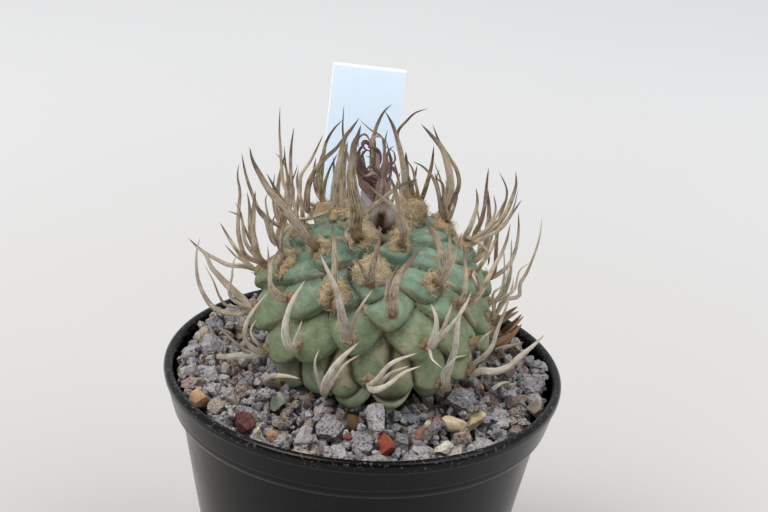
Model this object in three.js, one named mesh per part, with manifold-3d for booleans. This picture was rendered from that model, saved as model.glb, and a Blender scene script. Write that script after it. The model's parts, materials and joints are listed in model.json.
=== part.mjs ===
// Potted Turbinicarpus schwarzii, millimetres, +Z up.
// The origin is the centre of the pot's underside, the face it stands on.
// The photographed side of the plant faces -Y.
import * as THREE from 'three';
import { mergeVertices } from 'three/addons/utils/BufferGeometryUtils.js';
import Module from 'manifold-3d';

const wasm = await Module();
wasm.setup();

// Driving dimensions of the pot.
const POT_HEIGHT = 52;
const RIM_RADIUS = 32.5;
const RIM_INNER = 30.9;
const BAND_HEIGHT = 7.4;
const BAND_FOOT_RADIUS = 30.5;
const WALL_TOP_RADIUS = 29.5;
const WALL_TAPER = 0.191;
const WALL = 1.1;
const FLOOR = 1.4;
const FOOT_RISE = 1.0;
const HOLE_RADIUS = 3.2;
const HOLE_RING = 12.5;
const HOLE_COUNT = 4;
const POT_SIDES = 48;

// Levels of the filling, and the gap kept between pieces that touch.
const SOIL_TOP = 46.0;
const BED_FOOT = 46.3;
const BED_TOP = 50.2;
const BED_MOUND = 1.3;
const BED_RADIUS = 30.45;
const FIT = 0.3;

// The blank plant label.
const LABEL_WIDTH = 12.2;
const LABEL_THICKNESS = 0.8;
const LABEL_Y = 25.2;
const LABEL_FOOT_Z = 39;
const LABEL_TOP_MIDDLE = [370, 66.5];
const LABEL_LEAN = 2.5;

// Driving dimensions of the stem: the surface that the tubercle tips touch.
const AXIS_X = 0.8;
const EQUATOR_Z = 61.0;
const BODY_RADIUS = 19.6;
const UPPER_HALF = 17.5;
const LOWER_HALF = 13.5;
const SQUARENESS = 2.3;
const TUBERCLE_DEPTH = 3.5;
const TUBERCLE_HALF_WIDTH = 6.1;
const TUBERCLE_UP = 6.4;
const TUBERCLE_DOWN = 4.3;
const ROOT_RADIUS = 6.5;
const ROOT_FOOT_Z = 18;

// The spiral of areoles, numbered upwards; number 0 is the lowest on the front.
const FIRST_AREOLE = -24;
const LAST_AREOLE = 60;
const START_ANGLE = 0.9;
const DIVERGENCE = 137.508;
const START_Z = 59.2;
const CELL_AREA = 60;
const FULL_CELL_RADIUS = 18;

// The photograph's viewpoint, fitted to the outline of the pot.
const PHOTO_WIDTH = 768;
const PHOTO_HEIGHT = 512;
const FOCAL_PIXELS = 2133;
const VIEW_ELEVATION = 24.2;
const VIEW_ROLL = 4.15;
const VIEW_DISTANCE = 339.35;
const TARGET = new THREE.Vector3(2.08, 0, 71.56);
const PIXEL = 0.159;

const rad = THREE.MathUtils.degToRad;
const vec = (x, y, z) => new THREE.Vector3(x, y, z);
const elevation = rad(VIEW_ELEVATION);
const toEye = vec(0, -Math.cos(elevation), Math.sin(elevation));
const imageX = vec(1, 0, 0).multiplyScalar(Math.cos(rad(VIEW_ROLL)))
  .addScaledVector(vec(0, Math.sin(elevation), Math.cos(elevation)), Math.sin(rad(VIEW_ROLL)));
const imageY = toEye.clone().cross(imageX);
const eye = TARGET.clone().addScaledVector(toEye, VIEW_DISTANCE);

// Direction of the sight line through a photo pixel.
function sightLine([px, py]) {
  return toEye.clone().multiplyScalar(-FOCAL_PIXELS)
    .addScaledVector(imageX, px - PHOTO_WIDTH / 2)
    .addScaledVector(imageY, PHOTO_HEIGHT / 2 - py)
    .normalize();
}

// Where that sight line crosses the upright plane y = depth.
function onPlane(pixel, depth) {
  const line = sightLine(pixel);
  return eye.clone().addScaledVector(line, (depth - eye.y) / line.y);
}

// Where it crosses the level plane z = height.
function onLevel(pixel, height) {
  const line = sightLine(pixel);
  return eye.clone().addScaledVector(line, (height - eye.z) / line.z);
}

// A repeatable number between 0 and 1 for each whole number.
function scatter(n) {
  const v = Math.sin(n * 12.9898 + 4.137) * 43758.5453;
  return v - Math.floor(v);
}

// A closed skin over rings of points, with a point at each end.
function skin(foot, rings, head) {
  const count = rings[0].length;
  const points = [foot, ...rings.flat(), head];
  const at = (ring, i) => 1 + ring * count + (i % count);
  const last = points.length - 1;
  const index = [];
  for (let i = 0; i < count; i++) {
    index.push(0, at(0, i + 1), at(0, i));
    for (let k = 0; k + 1 < rings.length; k++) {
      index.push(at(k, i), at(k, i + 1), at(k + 1, i + 1));
      index.push(at(k, i), at(k + 1, i + 1), at(k + 1, i));
    }
    index.push(last, at(rings.length - 1, i), at(rings.length - 1, i + 1));
  }
  const geometry = new THREE.BufferGeometry();
  geometry.setAttribute('position',
    new THREE.Float32BufferAttribute(points.flatMap((p) => [p.x, p.y, p.z]), 3));
  geometry.setIndex(index);
  return geometry;
}

// Three.js shape to solid, and back.
function solid(geometry) {
  const bare = geometry.clone();
  bare.deleteAttribute('normal');
  bare.deleteAttribute('uv');
  const merged = mergeVertices(bare, 1e-4);
  return new wasm.Manifold(new wasm.Mesh({
    numProp: 3,
    vertProperties: Float32Array.from(merged.attributes.position.array),
    triVerts: Uint32Array.from(merged.index.array),
  }));
}

function shape(body) {
  const mesh = body.getMesh();
  const geometry = new THREE.BufferGeometry();
  geometry.setAttribute('position', new THREE.Float32BufferAttribute(mesh.vertProperties, 3));
  geometry.setIndex(Array.from(mesh.triVerts));
  geometry.computeVertexNormals();
  return geometry;
}

// The largest of the bodies left by a cut.
function largest(body) {
  const pieces = body.decompose();
  return pieces.reduce((best, piece) => (piece.volume() > best.volume() ? piece : best));
}

const part = new THREE.Group();
part.name = 'potted_turbinicarpus_schwarzii';

function add(name, body, color, roughness) {
  const material = new THREE.MeshStandardMaterial({ color, roughness, metalness: 0 });
  const mesh = new THREE.Mesh(shape(body), material);
  mesh.name = name;
  part.add(mesh);
}

// The pot: one turned wall with a deep band under the rim, a foot ring and drainage holes.
function potSolid() {
  const bandFoot = POT_HEIGHT - BAND_HEIGHT;
  const wall = (z) => WALL_TOP_RADIUS - WALL_TAPER * (bandFoot - z);
  const profile = [
    [0, FOOT_RISE],
    [wall(0) - 3.2, FOOT_RISE],
    [wall(0) - 2.6, 0],
    [wall(0) - 0.6, 0],
    [wall(0.6), 0.6],
    [wall(bandFoot), bandFoot + 0.2],
    [BAND_FOOT_RADIUS - 0.3, bandFoot],
    [BAND_FOOT_RADIUS + 0.2, bandFoot + 0.7],
    [RIM_RADIUS - 0.1, POT_HEIGHT - 0.8],
    [RIM_RADIUS - 0.3, POT_HEIGHT - 0.2],
    [RIM_RADIUS - 0.8, POT_HEIGHT],
    [RIM_INNER, POT_HEIGHT - 0.3],
    [RIM_INNER - 0.1, bandFoot + 1.6],
    [wall(bandFoot) - WALL, bandFoot],
    [wall(FLOOR) - WALL, FLOOR + FOOT_RISE + 0.6],
    [wall(FLOOR) - WALL - 1.0, FLOOR + FOOT_RISE],
    [0, FLOOR + FOOT_RISE],
  ];
  let body = solid(new THREE.LatheGeometry(
    profile.map(([r, z]) => new THREE.Vector2(r, z)), POT_SIDES).rotateX(Math.PI / 2));
  for (let i = 0; i < HOLE_COUNT; i++) {
    const drill = new THREE.CylinderGeometry(HOLE_RADIUS, HOLE_RADIUS, 8, 16).rotateX(Math.PI / 2);
    const a = (i + 0.5) * 2 * Math.PI / HOLE_COUNT;
    drill.translate(HOLE_RING * Math.cos(a), HOLE_RING * Math.sin(a), 2);
    body = body.subtract(solid(drill));
  }
  return body;
}
add('pot', potSolid(), 0x17181a, 0.55);

// The body's outline from pole to pole: radius, height and length along it.
const outline = [];
for (let i = 0; i <= 400; i++) {
  const a = (i / 400 - 0.5) * Math.PI;
  const r = BODY_RADIUS * Math.pow(Math.abs(Math.cos(a)), 2 / SQUARENESS);
  const rise = Math.sign(a) * Math.pow(Math.abs(Math.sin(a)), 2 / SQUARENESS);
  const z = EQUATOR_Z + (a > 0 ? UPPER_HALF : LOWER_HALF) * rise;
  const before = outline[outline.length - 1];
  const s = before ? before.s + Math.hypot(r - before.r, z - before.z) : 0;
  outline.push({ r, z, s });
}
const OUTLINE_LENGTH = outline[outline.length - 1].s;

// Radius, height and outward slope of the outline at a length from the lower pole.
function outlineAt(s) {
  const clamped = Math.min(Math.max(s, 0), OUTLINE_LENGTH);
  let i = 1;
  while (i < outline.length - 1 && outline[i].s < clamped) i += 1;
  const a = outline[i - 1];
  const b = outline[i];
  const t = (clamped - a.s) / (b.s - a.s);
  const length = b.s - a.s;
  return {
    r: a.r + t * (b.r - a.r),
    z: a.z + t * (b.z - a.z),
    nr: (b.z - a.z) / length,
    nz: -(b.r - a.r) / length,
  };
}

function lengthAtHeight(z) {
  const i = outline.findIndex((p) => p.z >= z);
  const a = outline[i - 1];
  const b = outline[i];
  return a.s + (b.s - a.s) * (z - a.z) / (b.z - a.z);
}

// A point on the body at a turn about its axis, a length up the outline and a lift off it.
function bodyPoint(turn, s, lift) {
  const o = outlineAt(s);
  const r = Math.max(o.r + lift * o.nr, 0);
  return vec(AXIS_X + r * Math.sin(turn), -r * Math.cos(turn), o.z + lift * o.nz);
}

// Areoles read from the photo, as pixels; all the others keep the spiral's own place.
const SEEN = {
  [-11]: [268, 384],
  [-8]: [326, 391],
  [-5]: [441, 384],
  [-3]: [265, 352],
  0: [369, 382],
  3: [474, 344],
  5: [297, 348],
  8: [427, 346],
  10: [254, 308],
  13: [350, 340],
  16: [458, 305],
  18: [288, 299],
  21: [392, 314],
  24: [472, 274],
  26: [335, 292],
  29: [435, 284],
  31: [287, 262],
  32: [464, 245],
  34: [370, 285],
  39: [319, 250],
  42: [400, 247],
  47: [359, 241],
};

// Turn and length up the outline where a sight line first meets the body, or passes closest.
function seenPlace(pixel) {
  const line = sightLine(pixel);
  const outside = (t) => {
    const p = eye.clone().addScaledVector(line, t);
    const half = p.z > EQUATOR_Z ? UPPER_HALF : LOWER_HALF;
    return Math.pow(Math.hypot(p.x - AXIS_X, p.y) / BODY_RADIUS, SQUARENESS)
      + Math.pow(Math.abs(p.z - EQUATOR_Z) / half, SQUARENESS) - 1;
  };
  let near = VIEW_DISTANCE - 40;
  let closest = near;
  while (outside(near) > 0 && near < VIEW_DISTANCE + 30) {
    near += 0.1;
    if (outside(near) < outside(closest)) closest = near;
  }
  const p = eye.clone().addScaledVector(line, closest);
  return { turn: Math.atan2(p.x - AXIS_X, -p.y), s: lengthAtHeight(p.z) };
}

// Every areole in order up the spiral, with the size of its tubercle.
function spiral() {
  const places = new Map();
  const base = lengthAtHeight(START_Z);
  let s = base;
  for (let n = 0; n <= LAST_AREOLE; n++) {
    places.set(n, s);
    const r = outlineAt(s).r;
    s += CELL_AREA * Math.min(1, r / FULL_CELL_RADIUS) / (2 * Math.PI * Math.max(r, 1));
  }
  for (let n = -1; n >= FIRST_AREOLE; n--) {
    places.set(n, base + n * CELL_AREA / (2 * Math.PI * 19));
  }
  return [...places].map(([n, length]) => {
    const place = SEEN[n] ? seenPlace(SEEN[n])
      : { turn: rad(START_ANGLE + DIVERGENCE * n), s: length };
    const size = Math.sqrt(Math.min(1, outlineAt(place.s).r / FULL_CELL_RADIUS));
    return { n, ...place, size };
  });
}
const areoles = spiral();
const areole = (n) => areoles.find((a) => a.n === n);

// How far the skin lies under the tips' surface: the highest tubercle wins, creases between.
function sink(turn, s) {
  const r = outlineAt(s).r;
  let best = -TUBERCLE_DEPTH * 1.25;
  for (const a of areoles) {
    const up = s - a.s;
    if (Math.abs(up) > 12) continue;
    let side = turn - a.turn;
    side -= 2 * Math.PI * Math.round(side / (2 * Math.PI));
    const across = side * Math.max(r, 1) / (TUBERCLE_HALF_WIDTH * a.size);
    const along = up / ((up > 0 ? TUBERCLE_UP : TUBERCLE_DOWN) * a.size);
    const away = Math.hypot(across, along);
    best = Math.max(best, -TUBERCLE_DEPTH * a.size * Math.pow(away, 1.5));
  }
  return best;
}

// The stem: a flattened globe of spiralled tubercles, grown in one with its taproot.
const STEM_SIDES = 72;
const STEM_RINGS = 23;
function stemSolid(lift) {
  const rings = [];
  for (let k = 1; k <= STEM_RINGS; k++) {
    const s = OUTLINE_LENGTH * k / (STEM_RINGS + 1);
    const ring = [];
    for (let i = 0; i < STEM_SIDES; i++) {
      const turn = 2 * Math.PI * i / STEM_SIDES;
      ring.push(bodyPoint(turn, s, sink(turn, s) + lift));
    }
    rings.push(ring);
  }
  const foot = bodyPoint(0, 0, lift - TUBERCLE_DEPTH);
  const head = bodyPoint(0, OUTLINE_LENGTH, lift - 1.2);
  const rootRings = [ROOT_FOOT_Z + 1, ROOT_FOOT_Z + 12, EQUATOR_Z - LOWER_HALF + 4].map((z, k) => {
    const r = ROOT_RADIUS * [0.3, 0.7, 1][k] + lift;
    return Array.from({ length: 12 }, (_, i) => vec(
      AXIS_X + r * Math.sin(i * Math.PI / 6), -r * Math.cos(i * Math.PI / 6), z));
  });
  const root = skin(vec(AXIS_X, 0, ROOT_FOOT_Z - lift), rootRings, vec(AXIS_X, 0, EQUATOR_Z));
  return solid(skin(foot, rings, head)).add(solid(root));
}
add('stem', stemSolid(0), 0x6f957c, 0.6);
const stemRoom = stemSolid(FIT);

// The tips' surface a little lifted: what the wool and the spines are seated on.
const seatRings = Array.from({ length: 17 }, (_, k) => Array.from({ length: 40 }, (_, i) => (
  bodyPoint(2 * Math.PI * i / 40, OUTLINE_LENGTH * (k + 1) / 18, FIT))));
const seat = solid(skin(bodyPoint(0, 0, FIT), seatRings, bodyPoint(0, OUTLINE_LENGTH, FIT)));

// A tapering spine along a curve, flattened, closed at both ends.
function spineSolid(points, width, segments) {
  const curve = new THREE.CatmullRomCurve3(points, false, 'centripetal');
  const sides = width > 0.7 ? 4 : 3;
  const rings = [];
  for (let k = 0; k < segments; k++) {
    const t = k / segments;
    const centre = curve.getPointAt(t);
    const along = curve.getTangentAt(t);
    const side = along.clone().cross(toEye).normalize();
    const front = side.clone().cross(along).normalize();
    const half = 0.5 * width * (0.25 + 0.75 * Math.sqrt(1 - t));
    rings.push(Array.from({ length: sides }, (_, i) => centre.clone()
      .addScaledVector(side, half * Math.cos(i * 2 * Math.PI / sides))
      .addScaledVector(front, -0.7 * half * Math.sin(i * 2 * Math.PI / sides))));
  }
  const foot = curve.getPointAt(0).addScaledVector(curve.getTangentAt(0), -0.3 * width);
  return solid(skin(foot, rings, curve.getPointAt(1)));
}

// Wool, as half width, half height, thickness and shift up the stem; small on most areoles.
const BARE_WOOL = [1.3, 1.3, 1.0, 0.2];
const WOOL = {
  26: [2.5, 2.8, 1.6, -0.4],
  29: [2.1, 2.0, 1.4, 0.2],
  31: [1.8, 2.4, 1.5, -0.3],
  32: [1.7, 1.7, 1.3, 0.2],
  34: [3.2, 2.7, 1.7, 2.3],
  36: [2.0, 2.0, 1.6, 0.0],
  39: [1.9, 2.0, 1.5, 0.4],
  40: [2.0, 2.0, 1.6, 0.0],
  41: [2.1, 2.3, 1.8, -0.3],
  42: [1.9, 1.8, 1.5, 0.3],
  46: [2.0, 2.8, 1.4, 0.5],
  47: [2.2, 3.0, 1.6, 1.4],
  48: [2.3, 2.2, 3.6, 0.4],
  49: [2.0, 2.0, 1.6, 0.0],
};
function padSolid(a, grow) {
  const [wide, tall, thick, shift] = WOOL[a.n] ?? BARE_WOOL;
  const middle = bodyPoint(a.turn, a.s + shift, 0);
  const out = bodyPoint(a.turn, a.s + shift, 1).sub(middle);
  const side = vec(Math.cos(a.turn), Math.sin(a.turn), 0);
  const up = side.clone().cross(out).negate();
  const rings = [-0.4, 0.5].map((level) => Array.from({ length: 7 }, (_, i) => {
    const ragged = Math.sqrt(1 - level * level) * (0.9 + 0.25 * scatter(a.n * 31 + i * 7));
    return middle.clone().addScaledVector(out, (thick + grow) * level)
      .addScaledVector(side, (wide * ragged + grow) * Math.cos(i * 2 * Math.PI / 7))
      .addScaledVector(up, (tall * ragged + grow) * Math.sin(i * 2 * Math.PI / 7));
  }));
  return solid(skin(middle.clone().addScaledVector(out, -thick - grow), rings,
    middle.clone().addScaledVector(out, thick + grow)));
}

// Spines read from the photo: areole, width in pixels, how far they bow towards the eye
// (in mm, at the middle and at the tip), then their course in photo pixels.
const SPINES = [
  [-11, 5, 2, 3, [267, 379], [280, 377], [299, 379]],
  [-10, 6, 1, 0, [480, 372], [497, 372], [516, 362], [545, 334]],
  [-8, 7, 3, 4, [327, 380], [338, 362], [359, 342]],
  [-8, 3, 2, 2, [316, 372], [315, 361], [319, 349]],
  [-8, 3, 1, 1, [338, 374], [348, 362], [361, 354]],
  [-5, 7, 2, 1, [446, 381], [453, 362], [457, 340], [460, 316], [469, 298]],
  [-5, 3, 2, 3, [439, 374], [449, 363], [466, 355]],
  [-3, 6, 3, 3, [250, 346], [245, 330], [252, 309], [267, 293]],
  [-3, 3, 1, 1, [253, 341], [251, 329], [257, 320]],
  [0, 5, 3, 3, [376, 381], [392, 363], [417, 353]],
  [0, 4, 2, 2, [378, 385], [391, 373], [409, 366]],
  [0, 5, 4, 5, [373, 390], [386, 386], [405, 372], [421, 366]],
  [2, 7, 0, 0, [236, 357], [222, 358], [207, 360]],
  [2, 4, 0, 0, [238, 341], [226, 330], [215, 324]],
  [3, 3.5, 0, 0, [480, 342], [492, 328], [503, 309]],
  [3, 3, 1, 1, [486, 345], [496, 338], [501, 311]],
  [5, 7, 3, 3, [288, 345], [285, 329], [290, 306], [305, 280]],
  [5, 4, 1, 1, [296, 339], [299, 330], [302, 320]],
  [8, 7, 3, 3, [435, 334], [436, 317], [431, 304]],
  [8, 5, 1, 1, [441, 334], [447, 320], [452, 305]],
  [8, 4, 3, 2, [447, 333], [458, 318], [471, 290]],
  [8, 2.5, 2, 3, [432, 359], [437, 364], [443, 369]],
  [10, 4, 0, -1, [226, 303], [208, 288], [200, 262], [199.6, 238]],
  [10, 3, -1, -2, [228, 291], [216, 274], [203, 250]],
  [11, 3, 1, 0, [484, 290], [489, 280], [495, 267]],
  [11, 2.5, -1, -2, [499, 296], [513, 286], [526, 268]],
  [13, 8, 3, 3, [343, 320], [336, 290], [320, 254]],
  [13, 5, 3, 3, [353, 325], [360, 308], [373, 290]],
  [15, 3, 0, -1, [244, 262], [236, 247], [221, 223]],
  [15, 2.5, -1, -2, [240, 268], [220, 258], [191, 240]],
  [16, 5, 2, 1, [464, 290], [466, 275], [463, 249]],
  [16, 4, 1, 0, [467, 296], [474, 282], [477, 258]],
  [18, 4, 2, 2, [272, 294], [268, 278], [274, 260], [285, 243]],
  [19, 3, -1, -2, [498, 225], [507, 192], [499, 171]],
  [19, 2.5, -1, -2, [502, 255], [518, 228], [522, 201]],
  [21, 9, 4, 4, [394, 293], [399, 276], [420, 249]],
  [21, 5, 3, 3, [387, 296], [390, 280], [402, 262]],
  [23, 3, 0, -1, [240, 234], [236, 200], [238, 163]],
  [23, 3.5, 1, 0, [254, 240], [251, 220], [255, 192]],
  [23, 2.5, -1, -2, [250, 243], [240, 225], [227, 211]],
  [24, 4, 2, 0, [480, 266], [488, 255], [500, 230]],
  [26, 4, 3, 2, [334, 280], [335, 250], [332, 222]],
  [27, 3, 0, 0, [477, 224], [484, 205], [489, 169]],
  [28, 3, 0, 0, [285, 195], [281, 153], [280, 108]],
  [28, 3, 0, 0, [276, 212], [267, 203], [268, 190]],
  [29, 9, 3, 3, [443, 268], [441, 250], [425, 220]],
  [29, 5, 4, 3, [448, 262], [450, 244], [449, 223]],
  [29, 4, 3, 2, [449, 272], [456, 252], [462, 232]],
  [31, 3, 1, 0, [279, 246], [274, 230], [277, 214]],
  [32, 4, 1, -1, [484, 232], [500, 219], [513, 195], [516, 173]],
  [32, 3, 2, 1, [484, 230], [504, 221], [522, 201]],
  [32, 3, 3, 3, [479, 240], [488, 252], [488, 265]],
  [32, 3.5, 2, 1, [473, 222], [477, 205], [477, 188]],
  [34, 7, 4, 4, [372, 268], [379, 250], [382, 231]],
  [34, 4, 4, 5, [365, 275], [360, 265], [354, 256]],
  [36, 3, 0, -1, [299, 196], [305, 166], [322, 138]],
  [39, 7, 4, 3, [301, 230], [278, 204], [258, 172], [249.5, 147.5]],
  [39, 4, 2, 1, [299, 224], [283, 201], [267, 174]],
  [40, 8, 1, 0, [449, 200], [451, 184], [449, 167], [443, 151], [434, 139], [421, 124.5]],
  [40, 3.5, 0, -1, [452, 199], [458, 180], [454, 163], [443, 144], [432, 127]],
  [40, 3, 3, 2, [440, 207], [437, 191], [429, 174], [412, 161]],
  [41, 5, 0, 0, [309, 190], [313, 173], [328, 156], [338, 148], [343, 139], [350, 129]],
  [41, 3, 0, -1, [319, 180], [322, 157], [325, 144], [332, 130], [343, 119]],
  [42, 5.5, 4, 4, [400, 225], [397, 207], [394, 190], [387, 172]],
  [42, 3.5, 5, 6, [399, 222], [393, 207], [380.5, 196], [362, 179.5]],
  [46, 2.5, 0, 0, [350, 165], [344, 134], [343, 104]],
  [47, 10, 4, 3, [354, 215], [353.5, 195], [352.5, 172], [353, 155], [356, 140], [361, 125.5]],
  [47, 4, 3, 3, [365, 213], [381, 199], [396, 187.5], [418, 178.5]],
  [48, 6, 0, 0, [406, 181], [401, 165], [398, 145], [391, 124], [385, 112]],
  [48, 3, -1, -1, [403, 165], [397, 138], [405, 123], [415, 114], [428, 109]],
  [48, 3, 0, 0, [425, 190], [432, 165], [434, 146]],
  [49, 2.5, 3, 3, [322, 214], [300, 219], [285, 229], [277, 249]],
  [49, 7, 0, 0, [334, 195], [337, 166], [344.5, 139], [351, 128.5], [359, 118.5]],
  [51, 3, 0, 0, [376, 175], [373, 140], [377, 124], [385, 112], [392, 105]],
];

// A spine's course: out from its areole, then along the sight lines of its pixels.
function seenCourse(a, bow, tip, pixels) {
  const root = bodyPoint(a.turn, a.s, 0.6);
  const depths = pixels.map((_, i) => {
    const t = (i + 1) / pixels.length;
    return root.y - bow * Math.sin(Math.PI * t) - tip * t * t;
  });
  return [root, ...pixels.map((pixel, i) => onPlane(pixel, depths[i]))];
}

// A spine the photo doesn't show: out from the stem, then upwards and a little inwards.
function hiddenCourse(a, length, fan) {
  const outward = vec(Math.sin(a.turn), -Math.cos(a.turn), 0);
  const side = vec(Math.cos(a.turn), Math.sin(a.turn), 0);
  const steep = outlineAt(a.s).nz;
  return [0, 0.33, 0.66, 1].map((t) => bodyPoint(a.turn, a.s, 0.6)
    .addScaledVector(outward, length * (0.62 * t - (0.42 + 0.25 * steep) * t * t))
    .addScaledVector(side, length * fan * t)
    .add(vec(0, 0, length * ((0.2 + 0.4 * steep) * t + (0.72 - 0.4 * steep) * t * t))));
}

// Areoles from this one up have grown together in the crown.
const CROWN_START = 46;
const CROWN_Z = EQUATOR_Z + UPPER_HALF;

// Areoles on the far side that still carry spines.
const HIDDEN = [6, 14, 17, 20, 22, 25, 30, 33, 35, 38];

// The pad of wool and the spines of one areole.
function clusterRaw(n) {
  const a = areole(n);
  let body = padSolid(a, 0);
  for (const [owner, width, bow, tip, ...pixels] of SPINES) {
    if (owner !== n) continue;
    const segments = width >= 5 ? 5 : 4;
    body = body.add(spineSolid(seenCourse(a, bow, tip, pixels), width * PIXEL, segments));
  }
  if (HIDDEN.includes(n)) {
    const length = 12 + 5 * scatter(n) + (n > 20 ? 2 : 0);
    for (const [k, fan] of [-0.22, 0.02, 0.24].entries()) {
      const reach = length * (k === 1 ? 1 : 0.8);
      body = body.add(spineSolid(hiddenCourse(a, reach, fan), k === 1 ? 0.9 : 0.55, 4));
    }
  }
  return body;
}

// One piece for each areole that keeps its spines, seated just off the stem.
const seenOwners = new Set(SPINES.map(([n]) => n));
for (const a of areoles) {
  if (a.n >= CROWN_START) continue;
  if (!seenOwners.has(a.n) && !HIDDEN.includes(a.n)) continue;
  const name = `spine_cluster_${String(a.n - FIRST_AREOLE).padStart(2, '0')}`;
  const color = a.n < 14 ? 0xcfc5b4 : a.n < 38 ? 0xa8967c : 0x8a755a;
  add(name, largest(clusterRaw(a.n).subtract(seat)).simplify(0.01), color, 0.8);
}

// The crown: the youngest areoles, whose wool has grown together over the growing point.
function crownRaw(lift) {
  const rings = [0, 1, 2].map((k) => Array.from({ length: 14 }, (_, i) => {
    const r = [6.4, 5.9, 3.0][k] * (0.9 + 0.2 * scatter(700 + i)) + (k < 2 ? lift : 0);
    const z = CROWN_Z + [-1.8, 0.2, 1.0][k] + (k > 0 ? lift : -lift);
    return vec(AXIS_X + r * Math.sin(i * Math.PI / 7), -r * Math.cos(i * Math.PI / 7), z);
  }));
  return solid(skin(
    vec(AXIS_X, 0, CROWN_Z - 2.2 - lift), rings, vec(AXIS_X, 0, CROWN_Z + 1.2 + lift)));
}
let crown = crownRaw(0);
for (const a of areoles) {
  if (a.n >= CROWN_START && seenOwners.has(a.n)) crown = crown.add(clusterRaw(a.n));
}
add('crown_wool', largest(crown.subtract(seat)).simplify(0.01), 0x8f7a5e, 0.85);

// The dried flower: a shrivelled bulb on the front of the crown, a neck and curled petals.
const FLOWER_Y = -4.3;
const FLOWER_COURSE = [
  [382, 230, 0.9], [382, 224, 1.7], [381.5, 211, 2.0], [381, 200, 1.5], [383, 190, 1.0], [383, 178, 1.1],
];
const FLOWER_STRIPS = [
  [11, [375, 208], [366, 199], [360, 188]],
  [6, [372, 181], [359, 172], [358, 156], [369, 146], [381, 157]],
  [6, [381, 170], [378, 158], [384, 152], [390, 160]],
  [5, [389, 170], [393, 155], [387, 142], [378, 139]],
];
function flowerSolid() {
  const rings = FLOWER_COURSE.map(([px, py, r]) => {
    const centre = onPlane([px, py], FLOWER_Y);
    return Array.from({ length: 8 }, (_, i) => centre.clone()
      .add(vec(r * Math.sin(i * Math.PI / 4), -0.9 * r * Math.cos(i * Math.PI / 4), 0)));
  });
  const head = onPlane([383, 174], FLOWER_Y);
  let body = solid(skin(onPlane([382, 233], FLOWER_Y), rings, head));
  for (const [k, [width, ...pixels]] of FLOWER_STRIPS.entries()) {
    const root = onPlane(k === 0 ? [381, 210] : [383, 180], FLOWER_Y);
    const course = [root, ...pixels.map((pixel, i) => (
      onPlane(pixel, FLOWER_Y + (0.6 * k - 0.6) * (i + 1) / pixels.length)))];
    body = body.add(spineSolid(course, width * PIXEL, 6));
  }
  return body;
}
const flower = flowerSolid().subtract(crownRaw(FIT)).subtract(seat);
add('dried_flower', largest(flower).simplify(0.01), 0x54423c, 0.85);

// The label: a thin blank tag with a pointed foot, pushed in behind the plant.
function labelSolid(grow) {
  const top = onPlane(LABEL_TOP_MIDDLE, LABEL_Y);
  const length = top.z - LABEL_FOOT_Z;
  const half = LABEL_WIDTH / 2 + grow;
  const outlineShape = new THREE.Shape([
    new THREE.Vector2(-half, 0),
    new THREE.Vector2(-half, -length + 7),
    new THREE.Vector2(-1.5 - grow, -length - grow),
    new THREE.Vector2(1.5 + grow, -length - grow),
    new THREE.Vector2(half, -length + 7),
    new THREE.Vector2(half, 0),
  ]);
  const depth = LABEL_THICKNESS + 2 * grow;
  const geometry = new THREE.ExtrudeGeometry(outlineShape, { depth, bevelEnabled: false });
  geometry.translate(0, 0, -depth / 2);
  geometry.rotateX(Math.PI / 2).rotateY(rad(LABEL_LEAN));
  geometry.translate(top.x, LABEL_Y, top.z);
  return solid(geometry);
}
const labelRoom = labelSolid(FIT);
add('plant_label', labelSolid(0), 0xdde8f0, 0.45);

// Loose stones that stand out: pixel of the middle, width and height in pixels, height of the
// middle above the bed, turn in degrees, colour.
const STONES = [
  ['tan_left', [200, 398], 17, 18, 0.4, 20, 0xb07a4e],
  ['dark_red', [244, 422], 21, 19, 0.3, 50, 0x5c2f2b],
  ['mint_chip', [277, 402], 14, 18, 0.6, 75, 0xa9c0a4],
  ['ochre_round', [352, 421], 22, 19, 0.4, 0, 0x8d6a45],
  ['brick_chip', [385, 446], 18, 20, 0.5, 60, 0x9c4530],
  ['cream_long', [451, 422], 26, 14, 0.5, -5, 0xcdb894],
  ['cream_tilted', [475, 421], 23, 14, 0.5, 35, 0xc9b283],
  ['cream_wedge', [535, 408], 14, 22, 0.4, 80, 0xb9ab92],
  ['pumice_right', [533, 385], 32, 28, 0.5, 15, 0x8b8789],
  ['pumice_front', [331, 428], 30, 26, 0.4, 10, 0x8a8482],
];
function stoneSolid(k, grow) {
  const [, pixel, width, height, rise, turn] = STONES[k];
  const middle = onLevel(pixel, BED_TOP + rise);
  const size = vec(width * PIXEL / 2, Math.max(width, height) * PIXEL / 2.6, height * PIXEL / 2.2);
  const geometry = mergeVertices(
    new THREE.IcosahedronGeometry(1, 1).deleteAttribute('normal').deleteAttribute('uv'), 1e-4);
  const position = geometry.attributes.position;
  for (let i = 0; i < position.count; i++) {
    const chip = 0.86 + 0.24 * scatter(900 + k * 50 + i);
    position.setXYZ(i, position.getX(i) * (size.x * chip + grow),
      position.getY(i) * (size.y * chip + grow), position.getZ(i) * (size.z * chip + grow));
  }
  geometry.rotateY(rad(-turn % 45)).rotateZ(rad(turn));
  geometry.translate(middle.x, middle.y, middle.z);
  return solid(geometry);
}

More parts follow.
